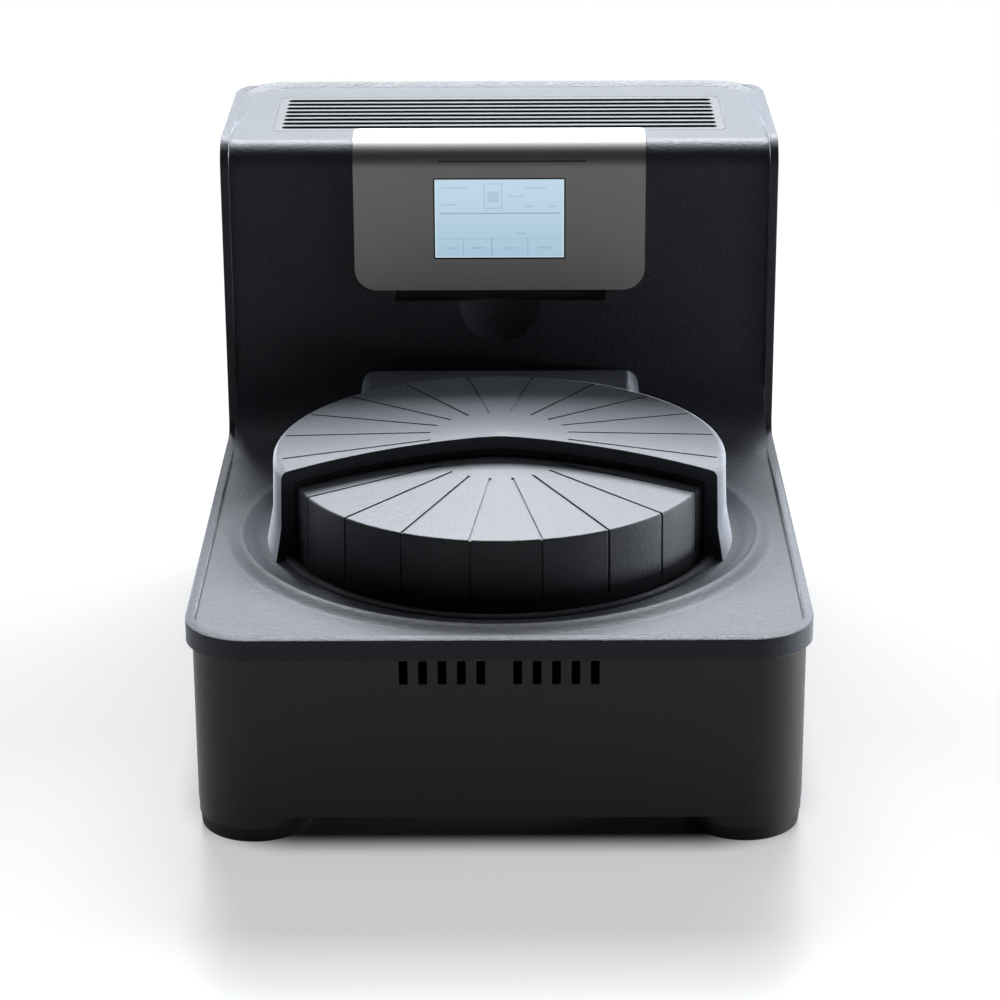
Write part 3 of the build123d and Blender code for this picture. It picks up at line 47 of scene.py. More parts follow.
def placeCamera(name, look):
    pitch, yaw, roll = np.radians([look["pitch"], look["yaw"], look["roll"]])
    forward = np.array([np.sin(yaw) * np.cos(pitch), np.cos(yaw) * np.cos(pitch), -np.sin(pitch)])
    level = np.cross(forward, (0, 0, 1))
    level /= np.linalg.norm(level)
    lift = np.cross(level, forward)
    across = np.cos(roll) * level + np.sin(roll) * lift
    upright = np.cos(roll) * lift - np.sin(roll) * level
    pose = np.eye(4)
    pose[:3, :] = np.stack([across, upright, -forward, look["place"]], 1)
    made = bpy.data.objects.new(name, bpy.data.cameras.new(name))
    made.data.lens = look["lens"]
    made.data.sensor_width = look["sensor"]
    made.data.clip_end = look["farthest"]
    made.matrix_world = Matrix(pose.tolist())
    bpy.context.collection.objects.link(made)
    return made


bpy.context.scene.camera = placeCamera("camera", view)
bpy.context.scene.view_settings.view_transform = "Standard"
print("camera placed")


class Signal:
    # a number that varies over a surface; the usual operators on it add Math nodes
    def __init__(self, tree, socket):
        self.tree = tree
        self.socket = socket

    def maths(self, operation, first, second=0.0):
        made = addNode(self.tree, "ShaderNodeMath", {"operation": operation}, {0: first, 1: second})
        return Signal(self.tree, made.outputs[0])

    def __add__(self, other):
        return self.maths("ADD", self, other)

    def __sub__(self, other):
        return self.maths("SUBTRACT", self, other)

    def __rsub__(self, other):
        return self.maths("SUBTRACT", other, self)

    def __mul__(self, other):
        return self.maths("MULTIPLY", self, other)

    def __truediv__(self, other):
        return self.maths("DIVIDE", self, other)

    def __rtruediv__(self, other):
        return self.maths("DIVIDE", other, self)

    def __pow__(self, other):
        return self.maths("POWER", self, other)

    def __lt__(self, other):
        return self.maths("LESS_THAN", self, other)

    def __gt__(self, other):
        return self.maths("GREATER_THAN", self, other)

    def __abs__(self):
        return self.maths("ABSOLUTE", self)

    def sine(self):
        return self.maths("SINE", self)

    def larger(self, other):
        return self.maths("MAXIMUM", self, other)

    def ease(self, low, high):
        # 0 below low, 1 above high, smooth between
        made = addNode(self.tree, "ShaderNodeMapRange", {"interpolation_type": "SMOOTHSTEP"},
                       {"Value": self, "From Min": low, "From Max": high})
        return Signal(self.tree, made.outputs[0])

    __radd__ = __add__
    __rmul__ = __mul__


def addNode(tree, kind, settings, sockets):
    made = tree.nodes.new(kind)
    for name, value in settings.items():
        setattr(made, name, value)
    for name, value in sockets.items():
        value = value.socket if isinstance(value, Signal) else value
        if isinstance(value, bpy.types.NodeSocket):
            tree.links.new(value, made.inputs[name])
        else:
            made.inputs[name].default_value = value
    return made


class Finish:
    # a material with one Principled shader; constants sit on its own sockets
    def __init__(self, name, constants):
        self.material = bpy.data.materials.new(name)
        self.material.use_nodes = True
        self.tree = self.material.node_tree
        self.tree.nodes.clear()
        self.shader = self.node("ShaderNodeBsdfPrincipled", {}, constants)
        self.end = self.node("ShaderNodeOutputMaterial", {}, {"Surface": self.shader.outputs[0]})
        self.place = self.node("ShaderNodeTexCoord", {}, {}).outputs["Object"]
        self.normal = None

    def softenEdges(self, radius):
        # sharp edges catch the light as if rounded by that radius
        self.normal = self.node("ShaderNodeBevel", {"samples": 4}, {"Radius": radius}).outputs[0]

    def node(self, kind, settings, sockets):
        return addNode(self.tree, kind, settings, sockets)

    def axes(self, where=None):
        made = self.node("ShaderNodeSeparateXYZ", {}, {0: where or self.place})
        return [Signal(self.tree, made.outputs[index]) for index in range(3)]

    def stretched(self, scale, centre=(0, 0, 0)):
        # the place on the piece, measured from centre and stretched along each axis
        shifted = [-middle * factor for middle, factor in zip(centre, scale)]
        made = self.node("ShaderNodeMapping", {}, {"Vector": self.place, "Location": shifted, "Scale": scale})
        return made.outputs[0]

    def noise(self, scale, detail=2.0, rough=0.5, where=None):
        made = self.node("ShaderNodeTexNoise", {}, {"Vector": where or self.place, "Scale": scale,
                                                    "Detail": detail, "Roughness": rough})
        return Signal(self.tree, made.outputs[0])

    def cells(self, scale):
        made = self.node("ShaderNodeTexVoronoi", {"feature": "F1"}, {"Vector": self.place, "Scale": scale})
        return Signal(self.tree, made.outputs[0])

    def blendTones(self, amount, first, second):
        made = self.node("ShaderNodeMix", {"data_type": "RGBA"}, {0: amount, 6: first, 7: second})
        return made.outputs[2]

    def paint(self, **links):
        names = {"colour": "Base Color", "rough": "Roughness", "metal": "Metallic", "glow": "Emission Color",
                 "normal": "Normal"}
        for name, value in links.items():
            value = value.socket if isinstance(value, Signal) else value
            self.tree.links.new(value, self.shader.inputs[names[name]])

    def emboss(self, height, depth):
        # adds a bump of that depth in metres on top of the bumps already there
        sockets = {"Strength": 1.0, "Distance": depth, "Height": height}
        if self.normal:
            sockets["Normal"] = self.normal
        self.normal = self.node("ShaderNodeBump", {}, sockets).outputs[0]
        self.paint(normal=self.normal)


def tone(red, green, blue):
    return (red, green, blue, 1.0)


def grey(level):
    return (level, level, level, 1.0)


def rectangle(x, z, left, right, bottom, top, soft):
    # 1 inside the rectangle, falling to 0 over soft metres outside it
    return (1 - (abs(x - (left + right) / 2) - (right - left) / 2).ease(0, soft)) \
        * (1 - (abs(z - (bottom + top) / 2) - (top - bottom) / 2).ease(0, soft))


# moulded plastic with a spark-eroded skin: fine pits, wider ripples and soft patches in colour and gloss
mouldedSkin = {
    "cover": {"dark": tone(0.022, 0.024, 0.029), "light": tone(0.050, 0.053, 0.063), "gloss": (0.36, 0.62),
              "pit": 700, "pitDepth": 0.00024, "sheen": 1.0, "specular": 0.18, "edge": 0.0014},
    "lid": {"dark": tone(0.038, 0.040, 0.046), "light": tone(0.070, 0.073, 0.082), "gloss": (0.36, 0.52),
            "pit": 900, "pitDepth": 0.00014, "sheen": 1.0, "specular": 0.18, "edge": 0.0010},
    "grille": {"dark": tone(0.018, 0.019, 0.022), "light": tone(0.034, 0.036, 0.041), "gloss": (0.50, 0.62),
               "pit": 900, "pitDepth": 0.00012, "sheen": 0.25, "specular": 0.35, "edge": 0.0004},
    "module": {"dark": grey(0.018), "light": grey(0.030), "gloss": (0.40, 0.52),
               "pit": 1200, "pitDepth": 0.00006, "sheen": 0.1, "specular": 0.4, "edge": 0.0004},
}

# what all mouldings share: the sheen, and how large and how strong ripples, patches and pits are
skinMix = {"sheenTint": tone(0.86, 0.91, 1.0), "sheenRough": 0.38, "rippleScale": 0.45, "patchScale": 11,
           "pitTone": 1.5, "patchTone": 0.7, "rippleGloss": 0.7, "rippleHeight": 1.2}


def mouldedPlastic(name, skin):
    mix = skinMix
    made = Finish(name, {"Sheen Weight": skin["sheen"], "Sheen Roughness": mix["sheenRough"],
                         "Sheen Tint": mix["sheenTint"], "Specular IOR Level": skin["specular"]})
    made.softenEdges(skin["edge"])
    pits = made.noise(skin["pit"], 3.0, 0.62)
    ripples = made.noise(skin["pit"] * mix["rippleScale"], 2.0, 0.5)
    patches = made.noise(mix["patchScale"], 3.0, 0.55)
    low, high = skin["gloss"]
    shade = (pits - 0.5) * mix["pitTone"] + (patches - 0.5) * mix["patchTone"] + 0.5
    matt = mix["rippleGloss"] * ripples + (1 - mix["rippleGloss"]) * patches
    made.paint(colour=made.blendTones(shade, skin["dark"], skin["light"]), rough=low + (high - low) * matt)
    made.emboss(pits + mix["rippleHeight"] * ripples, skin["pitDepth"])
    return made


# grip slot under the panel: its inside is painted nearly black, painted shade for the shade that falls in the
# recess
slotPaintedShade = {"left": -0.0766, "right": 0.0766, "bottom": 0.2444, "top": 0.2540, "front": 0.1022,
            "back": 0.1090, "soft": 0.0004, "black": grey(0.002)}


def paintSlotShade(made, slot):
    x, y, z = made.axes()
    inside = rectangle(x, z, slot["left"], slot["right"], slot["bottom"], slot["top"], slot["soft"]) \
        * (y > slot["front"]) * (y < slot["back"])
    bare = made.shader.inputs["Base Color"].links[0].from_socket
    # painted shade: near black takes the place of the moulding's colour inside the recess
    made.paint(colour=made.blendTones(inside, bare, slot["black"]))


coverFinish = mouldedPlastic("anthraciteMoulding", mouldedSkin["cover"])
paintSlotShade(coverFinish, slotPaintedShade)
lidFinish = mouldedPlastic("lidMoulding", mouldedSkin["lid"])
grilleFinish = mouldedPlastic("grilleMoulding", mouldedSkin["grille"])
moduleFinish = mouldedPlastic("blackMoulding", mouldedSkin["module"])


# sprayed coats on sheet metal: orange peel, fine texture and faint cloudiness
sprayedCoat = {
    "housing": {"dark": tone(0.035, 0.0335, 0.0262), "light": tone(0.053, 0.051, 0.041),
                "gloss": (0.34, 0.44), "peel": 260, "peelDepth": 0.00008, "grain": 1500, "coat": 0.05,
                "edge": 0.0008},
    "motor": {"dark": tone(0.060, 0.067, 0.080), "light": tone(0.084, 0.093, 0.110), "gloss": (0.38, 0.5),
              "peel": 300, "peelDepth": 0.00008, "grain": 1300, "coat": 0.1, "edge": 0.0006},
}

# what both coats share
coatMix = {"coatRough": 0.3, "specular": 0.2, "cloudScale": 6, "grainTone": 0.9, "cloudTone": 0.8,
           "grainHeight": 0.35}


def sprayedPaint(name, coat):
    mix = coatMix
    made = Finish(name, {"Coat Weight": coat["coat"], "Coat Roughness": mix["coatRough"],
                         "Specular IOR Level": mix["specular"]})
    made.softenEdges(coat["edge"])
    peel = made.noise(coat["peel"], 2.0, 0.45)
    grain = made.noise(coat["grain"], 2.0, 0.6)
    clouds = made.noise(mix["cloudScale"], 3.0, 0.5)
    low, high = coat["gloss"]
    shade = (grain - 0.5) * mix["grainTone"] + (clouds - 0.5) * mix["cloudTone"] + 0.5
    made.paint(colour=made.blendTones(shade, coat["dark"], coat["light"]), rough=low + (high - low) * clouds)
    made.emboss(peel + mix["grainHeight"] * grain, coat["peelDepth"])
    return made


housingFinish = sprayedPaint("housingPaint", sprayedCoat["housing"])
motorFinish = sprayedPaint("motorPaint", sprayedCoat["motor"])


# rubber: matt, dusty in patches, with a fine grain
rubberSkin = {"black": tone(0.012, 0.012, 0.013), "dusty": tone(0.034, 0.033, 0.032), "rough": (0.62, 0.85),
              "grain": 1100, "grainDepth": 0.00008, "sheen": 0.12, "sheenRough": 0.5, "specular": 0.35,
              "dustScale": 40, "dustEdges": (0.42, 0.72)}


def rubber(name, skin):
    made = Finish(name, {"Sheen Weight": skin["sheen"], "Sheen Roughness": skin["sheenRough"],
                         "Specular IOR Level": skin["specular"]})
    dust = made.noise(skin["dustScale"], 4.0, 0.6)
    grain = made.noise(skin["grain"], 2.0, 0.6)
    low, high = skin["rough"]
    made.paint(colour=made.blendTones(dust.ease(*skin["dustEdges"]), skin["black"], skin["dusty"]),
               rough=low + (high - low) * dust)
    made.emboss(grain, skin["grainDepth"])
    return made


footFinish = rubber("footRubber", rubberSkin)
sealFinish = rubber("sealRubber", rubberSkin)


# metals: a base tone, stains and a mark, which is brushing across, rings round an upright axis, zinc spangle
# or, for none, plain grain
metalLook = {
    "panel": {"tone": tone(0.240, 0.233, 0.223), "pale": tone(0.278, 0.271, 0.260), "rough": (0.42, 0.52),
              "metal": 0.85, "mark": "across", "markDepth": 0.000012, "markRough": 0.05},
    "sheet": {"tone": tone(0.27, 0.28, 0.29), "pale": tone(0.38, 0.39, 0.40), "rough": (0.30, 0.46),
              "metal": 1.0, "mark": "spangle", "markDepth": 0.00001, "markRough": 0.08},
    "aluminium": {"tone": tone(0.58, 0.585, 0.595), "pale": tone(0.68, 0.685, 0.695), "rough": (0.24, 0.36),
                  "metal": 1.0, "mark": "rings", "markDepth": 0.00002, "markRough": 0.07},
    "bright": {"tone": tone(0.55, 0.55, 0.56), "pale": tone(0.66, 0.66, 0.67), "rough": (0.14, 0.24),
               "metal": 1.0, "mark": "rings", "markDepth": 0.000006, "markRough": 0.05},
    "bowl": {"tone": tone(0.50, 0.50, 0.505), "pale": tone(0.60, 0.60, 0.605), "rough": (0.22, 0.34),
             "metal": 1.0, "mark": "rings", "markDepth": 0.000016, "markRough": 0.06},
    "clamp": {"tone": tone(0.150, 0.158, 0.172), "pale": tone(0.195, 0.203, 0.220), "rough": (0.34, 0.44),
              "metal": 0.9, "mark": "none", "markDepth": 0.00002, "markRough": 0.05},
}

# size and strength of those marks; a ring mark is the sine of distance, height and wobble added up
toolMarks = {"brush": (45, 4200, 4200), "ringAcross": 9000.0, "ringUp": 5200.0, "ringWobble": 6.0,
             "ringSwing": 0.25, "ringShare": 0.6, "ringGrain": (900, 900, 3000), "wobbleScale": 25,
             "spangle": 95, "spangleShare": 0.8, "spangleGrain": 900, "grain": 1400, "stainScale": 14,
             "stainTone": 0.55}


def metal(name, look, axis=(0.0, 0.0)):
    made = Finish(name, {"Metallic": look["metal"]})
    size = toolMarks
    stains = made.noise(size["stainScale"], 4.0, 0.6)
    if look["mark"] == "across":
        marks = made.noise(1.0, 3.0, 0.6, made.stretched(size["brush"]))
    elif look["mark"] == "rings":
        x, y, z = made.axes(made.stretched((1, 1, 1), (axis[0], axis[1], 0)))
        radius = (x * x + y * y) ** 0.5
        wobble = made.noise(size["wobbleScale"], 2.0, 0.5)
        turned = (radius * size["ringAcross"] + z * size["ringUp"] + wobble * size["ringWobble"]).sine()
        marks = (turned * size["ringSwing"] + 0.5) * size["ringShare"] \
            + (1 - size["ringShare"]) * made.noise(1.0, 2.0, 0.6, made.stretched(size["ringGrain"]))
    elif look["mark"] == "spangle":
        marks = made.cells(size["spangle"]) * size["spangleShare"] \
            + (1 - size["spangleShare"]) * made.noise(size["spangleGrain"])
    else:
        marks = made.noise(size["grain"], 2.0, 0.6)
    low, high = look["rough"]
    shade = size["stainTone"] * stains + (1 - size["stainTone"]) * marks
    made.paint(colour=made.blendTones(shade, look["tone"], look["pale"]),
               rough=low + (high - low) * stains + look["markRough"] * (marks - 0.5))
    made.emboss(marks, look["markDepth"])
    return made


millAxis = (0.0, -0.093)      # the upright axis of lid and disk
planetOffset = 0.070
planetAxes = {"left": (-planetOffset, millAxis[1]), "right": (planetOffset, millAxis[1])}
aluminiumFinish = metal("turnedAluminium", metalLook["aluminium"], millAxis)
brightFinish = metal("groundSteel", metalLook["bright"], millAxis)
sheetFinish = metal("zincSheet", metalLook["sheet"])
clampFinish = metal("anodisedClamp", metalLook["clamp"])
bowlFinishes = {side: metal("turnedStainless." + side, metalLook["bowl"], axis)
                for side, axis in planetAxes.items()}
holderFinishes = {side: metal("turnedHolder." + side, metalLook["aluminium"], axis)
                  for side, axis in planetAxes.items()}


# control panel: satin metal with one plain thin rule above the display
panelRule = {"left": -0.044, "right": 0.062, "height": 0.3493, "thickness": 0.0008, "front": 0.1025,
             "ink": tone(0.035, 0.034, 0.033), "soft": 0.0003}


def inkPanel(made, rule):
    x, y, z = made.axes()
    line = rectangle(x, z, rule["left"], rule["right"], rule["height"] - rule["thickness"] / 2,
                     rule["height"] + rule["thickness"] / 2, rule["soft"]) * (y < rule["front"])
    bare = made.shader.inputs["Base Color"].links[0].from_socket
    made.paint(colour=made.blendTones(line, bare, rule["ink"]),
               metal=metalLook["panel"]["metal"] * (1 - line))


panelFinish = metal("panelSatin", metalLook["panel"])
inkPanel(panelFinish, panelRule)


# lit display behind the window: pale blue, faint rules, soft-key boxes and plain bars for its rows
display = {"left": -0.0466, "right": 0.0466, "bottom": 0.2774, "top": 0.3366, "front": 0.1015,
           "low": tone(0.42, 0.58, 0.71), "high": tone(0.54, 0.70, 0.81), "edge": tone(0.66, 0.80, 0.88),
           "ink": tone(0.20, 0.32, 0.42), "edgeWidth": 0.0016, "glow": 0.96, "inkStrength": 0.95,
           "soft": 0.0002, "markSoft": 0.0003, "rough": 0.35, "specular": 0.3, "caseDark": grey(0.012),
           "caseLight": grey(0.022), "caseGrain": 1200, "caseDepth": 0.00005}
# left, right, bottom and top of each mark as shares of the display, and how dark it is
displayMarks = [
    (0.04, 0.97, 0.556, 0.566, 0.75),
    (0.05, 0.26, 0.870, 0.884, 0.30), (0.05, 0.17, 0.664, 0.678, 0.35),
    (0.69, 0.86, 0.870, 0.884, 0.30), (0.57, 0.70, 0.765, 0.780, 0.25), (0.69, 0.76, 0.640, 0.655, 0.35),
    (0.88, 0.94, 0.640, 0.655, 0.35),
    (0.38, 0.385, 0.62, 0.93, 0.35), (0.515, 0.52, 0.62, 0.93, 0.35), (0.38, 0.52, 0.925, 0.935, 0.35),
    (0.38, 0.52, 0.62, 0.63, 0.35), (0.41, 0.49, 0.70, 0.83, 0.30),
    (0.02, 0.98, 0.236, 0.244, 0.30), (0.217, 0.223, 0.02, 0.24, 0.45), (0.436, 0.442, 0.02, 0.24, 0.55),
    (0.716, 0.722, 0.02, 0.24, 0.45),
    (0.08, 0.18, 0.115, 0.135, 0.35), (0.29, 0.38, 0.115, 0.135, 0.40), (0.53, 0.64, 0.115, 0.135, 0.30),
    (0.80, 0.90, 0.115, 0.135, 0.40), (0.63, 0.70, 0.30, 0.315, 0.35),
]


def litDisplay(name, screen, marks):
    made = Finish(name, {"Roughness": screen["rough"], "Emission Strength": screen["glow"],
                         "Specular IOR Level": screen["specular"]})
    x, y, z = made.axes()
    wide = screen["right"] - screen["left"]
    high = screen["top"] - screen["bottom"]
    lit = rectangle(x, z, screen["left"], screen["right"], screen["bottom"], screen["top"],
                    screen["soft"]) * (y < screen["front"])
    drawn = 0
    for left, right, bottom, top, strength in marks:
        drawn = strength * rectangle(x, z, screen["left"] + left * wide, screen["left"] + right * wide,
                                     screen["bottom"] + bottom * high, screen["bottom"] + top * high,
                                     screen["markSoft"]) + drawn
    inset = screen["edgeWidth"]
    core = rectangle(x, z, screen["left"] + inset, screen["right"] - inset, screen["bottom"] + inset,
                     screen["top"] - inset, inset)
    field = made.blendTones(((z - screen["bottom"]) / high).ease(0, 1), screen["low"], screen["high"])
    field = made.blendTones(1 - core, field, screen["edge"])
    field = made.blendTones(screen["inkStrength"] * drawn, field, screen["ink"])
    case = made.noise(screen["caseGrain"], 2.0, 0.6)
    made.paint(glow=made.blendTones(lit, grey(0.0), field),
               colour=made.blendTones(case, screen["caseDark"], screen["caseLight"]))
    made.emboss(case * (1 - lit), screen["caseDepth"])
    return made


displayFinish = litDisplay("litDisplay", display, displayMarks)


# window: clear pane with a faint smear in its gloss
pane = {"tint": tone(0.90, 0.95, 0.98), "rough": (0.015, 0.05)}


def clearPane(name, look):
    made = Finish(name, {"Base Color": look["tint"], "Transmission Weight": 1.0, "IOR": 1.45})
    smear = made.noise(30, 3.0, 0.5)
    low, high = look["rough"]
    made.paint(rough=low + (high - low) * smear)
    return made


windowFinish = clearPane("clearPane", pane)


# white low-friction ring, and the green board with its copper pads
guideLook = {"dark": tone(0.66, 0.66, 0.64), "light": tone(0.76, 0.76, 0.74), "rough": (0.35, 0.5),
             "haze": 60, "grain": 900, "grainDepth": 0.00004}
boardLook = {"laminate": tone(0.020, 0.120, 0.060), "track": tone(0.032, 0.180, 0.088),
             "solder": tone(0.52, 0.53, 0.54), "coat": 0.3, "acrossWave": 1400.0, "upWave": 260.0,
             "slantWave": 90.0, "acrossEdge": 0.35, "upEdge": -0.2, "padScale": 260, "padSize": 0.16,
             "padMetal": 0.9, "rough": 0.42, "padGloss": 0.14, "trackHeight": 0.4, "depth": 0.00006}


def guidePlastic(name, look):
    made = Finish(name, {})
    haze = made.noise(look["haze"], 3.0, 0.5)
    low, high = look["rough"]
    made.paint(colour=made.blendTones(haze, look["dark"], look["light"]), rough=low + (high - low) * haze)
    made.emboss(made.noise(look["grain"], 2.0, 0.5), look["grainDepth"])
    return made


def circuitBoard(name, look):
    made = Finish(name, {"Coat Weight": look["coat"]})
    x, y, z = made.axes()
    lanes = ((x * look["acrossWave"]).sine() > look["acrossEdge"]) \
        * ((z * look["upWave"] + x * look["slantWave"]).sine() > look["upEdge"])
    pads = made.cells(look["padScale"]) < look["padSize"]
    made.paint(colour=made.blendTones(pads, made.blendTones(lanes, look["laminate"], look["track"]),
                                      look["solder"]),
               metal=pads * look["padMetal"], rough=look["rough"] - look["padGloss"] * pads)
    made.emboss(lanes * look["trackHeight"] + pads, look["depth"])
    return made


guideFinish = guidePlastic("lowFrictionPlastic", guideLook)
boardFinish = circuitBoard("boardLaminate", boardLook)


# power switch: glossy rocker with the plain ring and bar of on and off
rockerMarks = {"centre": (-0.085, 0.090), "gap": 0.0060, "ring": (0.0017, 0.0024), "bar": (0.0004, 0.0024),
               "ink": grey(0.75), "plastic": grey(0.014), "rough": 0.14, "scuffRough": 0.14,
               "scuffScale": 120, "scuffDepth": 0.00001}


def rockerPlastic(name, marks):
    made = Finish(name, {})
    x, y, z = made.axes()
    across = x - marks["centre"][0]
    ringUp = z - (marks["centre"][1] - marks["gap"])
    radius = (across * across + ringUp * ringUp) ** 0.5
    ring = (radius > marks["ring"][0]) * (radius < marks["ring"][1])
    barUp = z - (marks["centre"][1] + marks["gap"])
    bar = (abs(across) < marks["bar"][0]) * (abs(barUp) < marks["bar"][1])
    scuffs = made.noise(marks["scuffScale"], 4.0, 0.6)
    made.paint(colour=made.blendTones(ring.larger(bar), marks["plastic"], marks["ink"]),
               rough=marks["rough"] + marks["scuffRough"] * scuffs)
    made.emboss(scuffs, marks["scuffDepth"])
    return made


rockerFinish = rockerPlastic("rockerGloss", rockerMarks)


# mains inlet: black body, and plated blades where the socket is open
inletBlades = {"centre": (-0.130, 0.090), "halfWide": 0.0095, "halfHigh": 0.0055, "floor": 0.2703,
               "tone": grey(0.56), "rough": 0.24}


def inletPlastic(name, skin, blades):
    made = mouldedPlastic(name, skin)
    x, y, z = made.axes()
    across, up = blades["centre"]
    plated = (abs(x - across) < blades["halfWide"]) * (abs(z - up) < blades["halfHigh"]) \
        * (y > blades["floor"])
    bare, satin = (made.shader.inputs[wanted].links[0].from_socket for wanted in ("Base Color", "Roughness"))
    made.paint(colour=made.blendTones(plated, bare, blades["tone"]), metal=plated,
               rough=Signal(made.tree, satin) * (1 - plated) + blades["rough"] * plated)
    return made


inletFinish = inletPlastic("inletMoulding", mouldedSkin["module"], inletBlades)
print("finishes made")


# trim worked out as surfaces, all of it fixed to the casing
sharpAngle = 40      # degrees between two faces, above which their edge stays sharp


def borderPath(half, edge, corner, start, steps=14):
    # up one side, round two corners of that radius and back down the other side; also the outward directions
    side = np.sign(edge)
    turn = np.linspace(0, np.pi / 2, steps)
    outward = np.stack([np.cos(turn), side * np.sin(turn)], 1)
    bend = np.array([half - corner, edge - side * corner]) + corner * outward
    run = np.linspace(start, edge - side * corner, steps)[:-1]
    outward = np.concatenate([np.stack([np.ones_like(run), np.zeros_like(run)], 1), outward])
    right = np.concatenate([np.stack([np.full_like(run, half), run], 1), bend])
    mirror = np.array([-1.0, 1.0])
    return np.concatenate([right, right[::-1] * mirror]), np.concatenate([outward, outward[::-1] * mirror])


def ringPath(radius, reach, steps):
    # part of a circle round the milling axis, reach degrees to either side of the front
    turn = np.radians(np.linspace(-reach, reach, steps))
    outward = np.stack([np.sin(turn), -np.cos(turn)], 1)
    return np.array(millAxis) + radius * outward, outward, np.degrees(np.abs(turn))


def loopPath(half, bottom, top, corner, steps=8):
    # rectangle with round corners, closed; each corner is a quarter circle
    turn = np.linspace(0, np.pi / 2, steps)[None, :] + np.arange(4)[:, None] * np.pi / 2
    outward = np.stack([np.cos(turn), np.sin(turn)], 2)
    signs = np.array([(1, 1), (-1, 1), (-1, -1), (1, -1)])[:, None, :]
    middle = np.array([0.0, (bottom + top) / 2])
    centres = middle + signs * (np.array([half, (top - bottom) / 2]) - corner)
    return (centres + corner * outward).reshape(-1, 2), outward.reshape(-1, 2)


def easeArray(value, low, high):
    # 0 below low, 1 above high; between them three times the share squared less twice its cube
    share = np.clip((value - low) / (high - low), 0, 1)
    return share * share * (3 - 2 * share)


def carried(path, outward, profile):
    # each station of the path holds the profile: its first number points outwards, its second is the height
    profile = np.broadcast_to(profile, (len(path),) + profile.shape[-2:])
    flat = path[:, None, :] + outward[:, None, :] * profile[:, :, :1]
    return np.concatenate([flat, profile[:, :, 1:]], 2)


def makeSurface(name, points, finish, closed=False):
    # a grid of points closed round the profile; its ends are joined, or covered by one flat face each
    along, around, _ = points.shape
    index = np.arange(along * around).reshape(along, around)
    here = index if closed else index[:-1]
    ahead = np.roll(index, -1, 0) if closed else index[1:]
    quads = np.stack([here, np.roll(here, -1, 1), np.roll(ahead, -1, 1), ahead], 2).reshape(-1, 4)
    corners = points.reshape(-1, 3)
    a, b, c, d = (corners[quads[:, number]] for number in range(4))
    volume = np.einsum("ij,ij->i", a + b + c + d, np.cross(c - a, d - b)).sum()
    faces = quads.tolist() if closed else quads.tolist() + [index[0][::-1].tolist(), index[-1].tolist()]
    if volume < 0:
        faces = [face[::-1] for face in faces]
    mesh = bpy.data.meshes.new(name)
    mesh.from_pydata(corners.tolist(), [], faces)
    mesh.polygons.foreach_set("use_smooth", np.ones(len(faces), bool))
    mesh.set_sharp_from_angle(angle=np.radians(sharpAngle))
    mesh.materials.append(finish.material)
    made = bpy.data.objects.new(name, mesh)
    bpy.context.collection.objects.link(made)
    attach(made, "casing")
    return made


# raised border: inner edge, corner radius and levels of the moulding, shared by the trim on it
border = {"half": 0.194, "front": -0.284, "rear": 0.284, "corner": 0.036, "plate": 0.142, "top": 0.144}


# dark rubber strip where the plate meets its border: painted shade, laid where the foot of the border is in
# shade
borderShadeStrip = {"start": 0.044, "width": 0.0013, "proud": 0.00025, "sunk": 0.0002, "lean": 0.00005}


def makeBorderShadeStrip(look):
    # four-sided strip, a little higher on its outer side
    sunk, width = look["sunk"], look["width"]
    low, high = border["plate"] - sunk, border["plate"] + look["proud"]
    profile = np.array([(sunk, low), (sunk, high), (sunk - width, high - look["lean"]), (-width, low)])
    path, outward = borderPath(border["half"], border["front"], border["corner"], look["start"])
    # painted shade: the strip is drawn in the near-black seal rubber
    makeSurface("plateBorderShadeStrip", carried(path, outward, profile), sealFinish)


makeBorderShadeStrip(borderShadeStrip)


# the border's own top leans outwards; the lean fades out before the tower
borderTop = {"start": 0.040, "full": -0.040, "inner": 0.0001, "outer": 0.0057, "lift": 0.0013,
             "under": 0.0010, "crest": (0.0003, 0.0009), "brow": 0.0007, "rise": 0.00004, "fall": 0.00006,
             "steps": 20, "share": (0.0, 0.82, 0.97, 0.93, 0.10, 0.0, 0.0)}


def makeBorderTop(look):
    # height = the border's top plus lift times the profile's share, eased to nothing from full to start
    path, outward = borderPath(border["half"], border["front"], border["corner"], look["start"],
                               look["steps"])
    lift = look["lift"] * (1 - easeArray(path[:, 1], look["full"], look["start"]))[:, None]
    inner, outer = look["inner"], look["outer"]
    near, far = look["crest"]
    reach = np.array([inner, inner, inner + near, inner + far, outer - look["brow"], outer, outer])
    share = np.array(look["share"])
    level = border["top"] + np.array([-look["under"], 0.0, 0.0, 0.0, look["rise"], -look["fall"],
                                      -look["under"]])
    profile = np.stack(np.broadcast_arrays(reach, level + lift * share), 2)
    makeSurface("plateBorderTop", carried(path, outward, profile), coverFinish)


makeBorderTop(borderTop)


# raised rim along the rear of the roof: inside, a slope that grows along the sides; outside, a quarter circle
rearRim = {"top": 0.36395, "width": 0.00595, "rounding": 0.0050, "foot": 0.3460, "slope": 0.0070,
           "inside": 0.3609, "start": 0.135, "grown": 0.230, "seat": 0.0009, "shoulder": 0.0012,
           "crown": 0.0006, "crownDrop": 0.0003, "quarter": 9, "steps": 24}


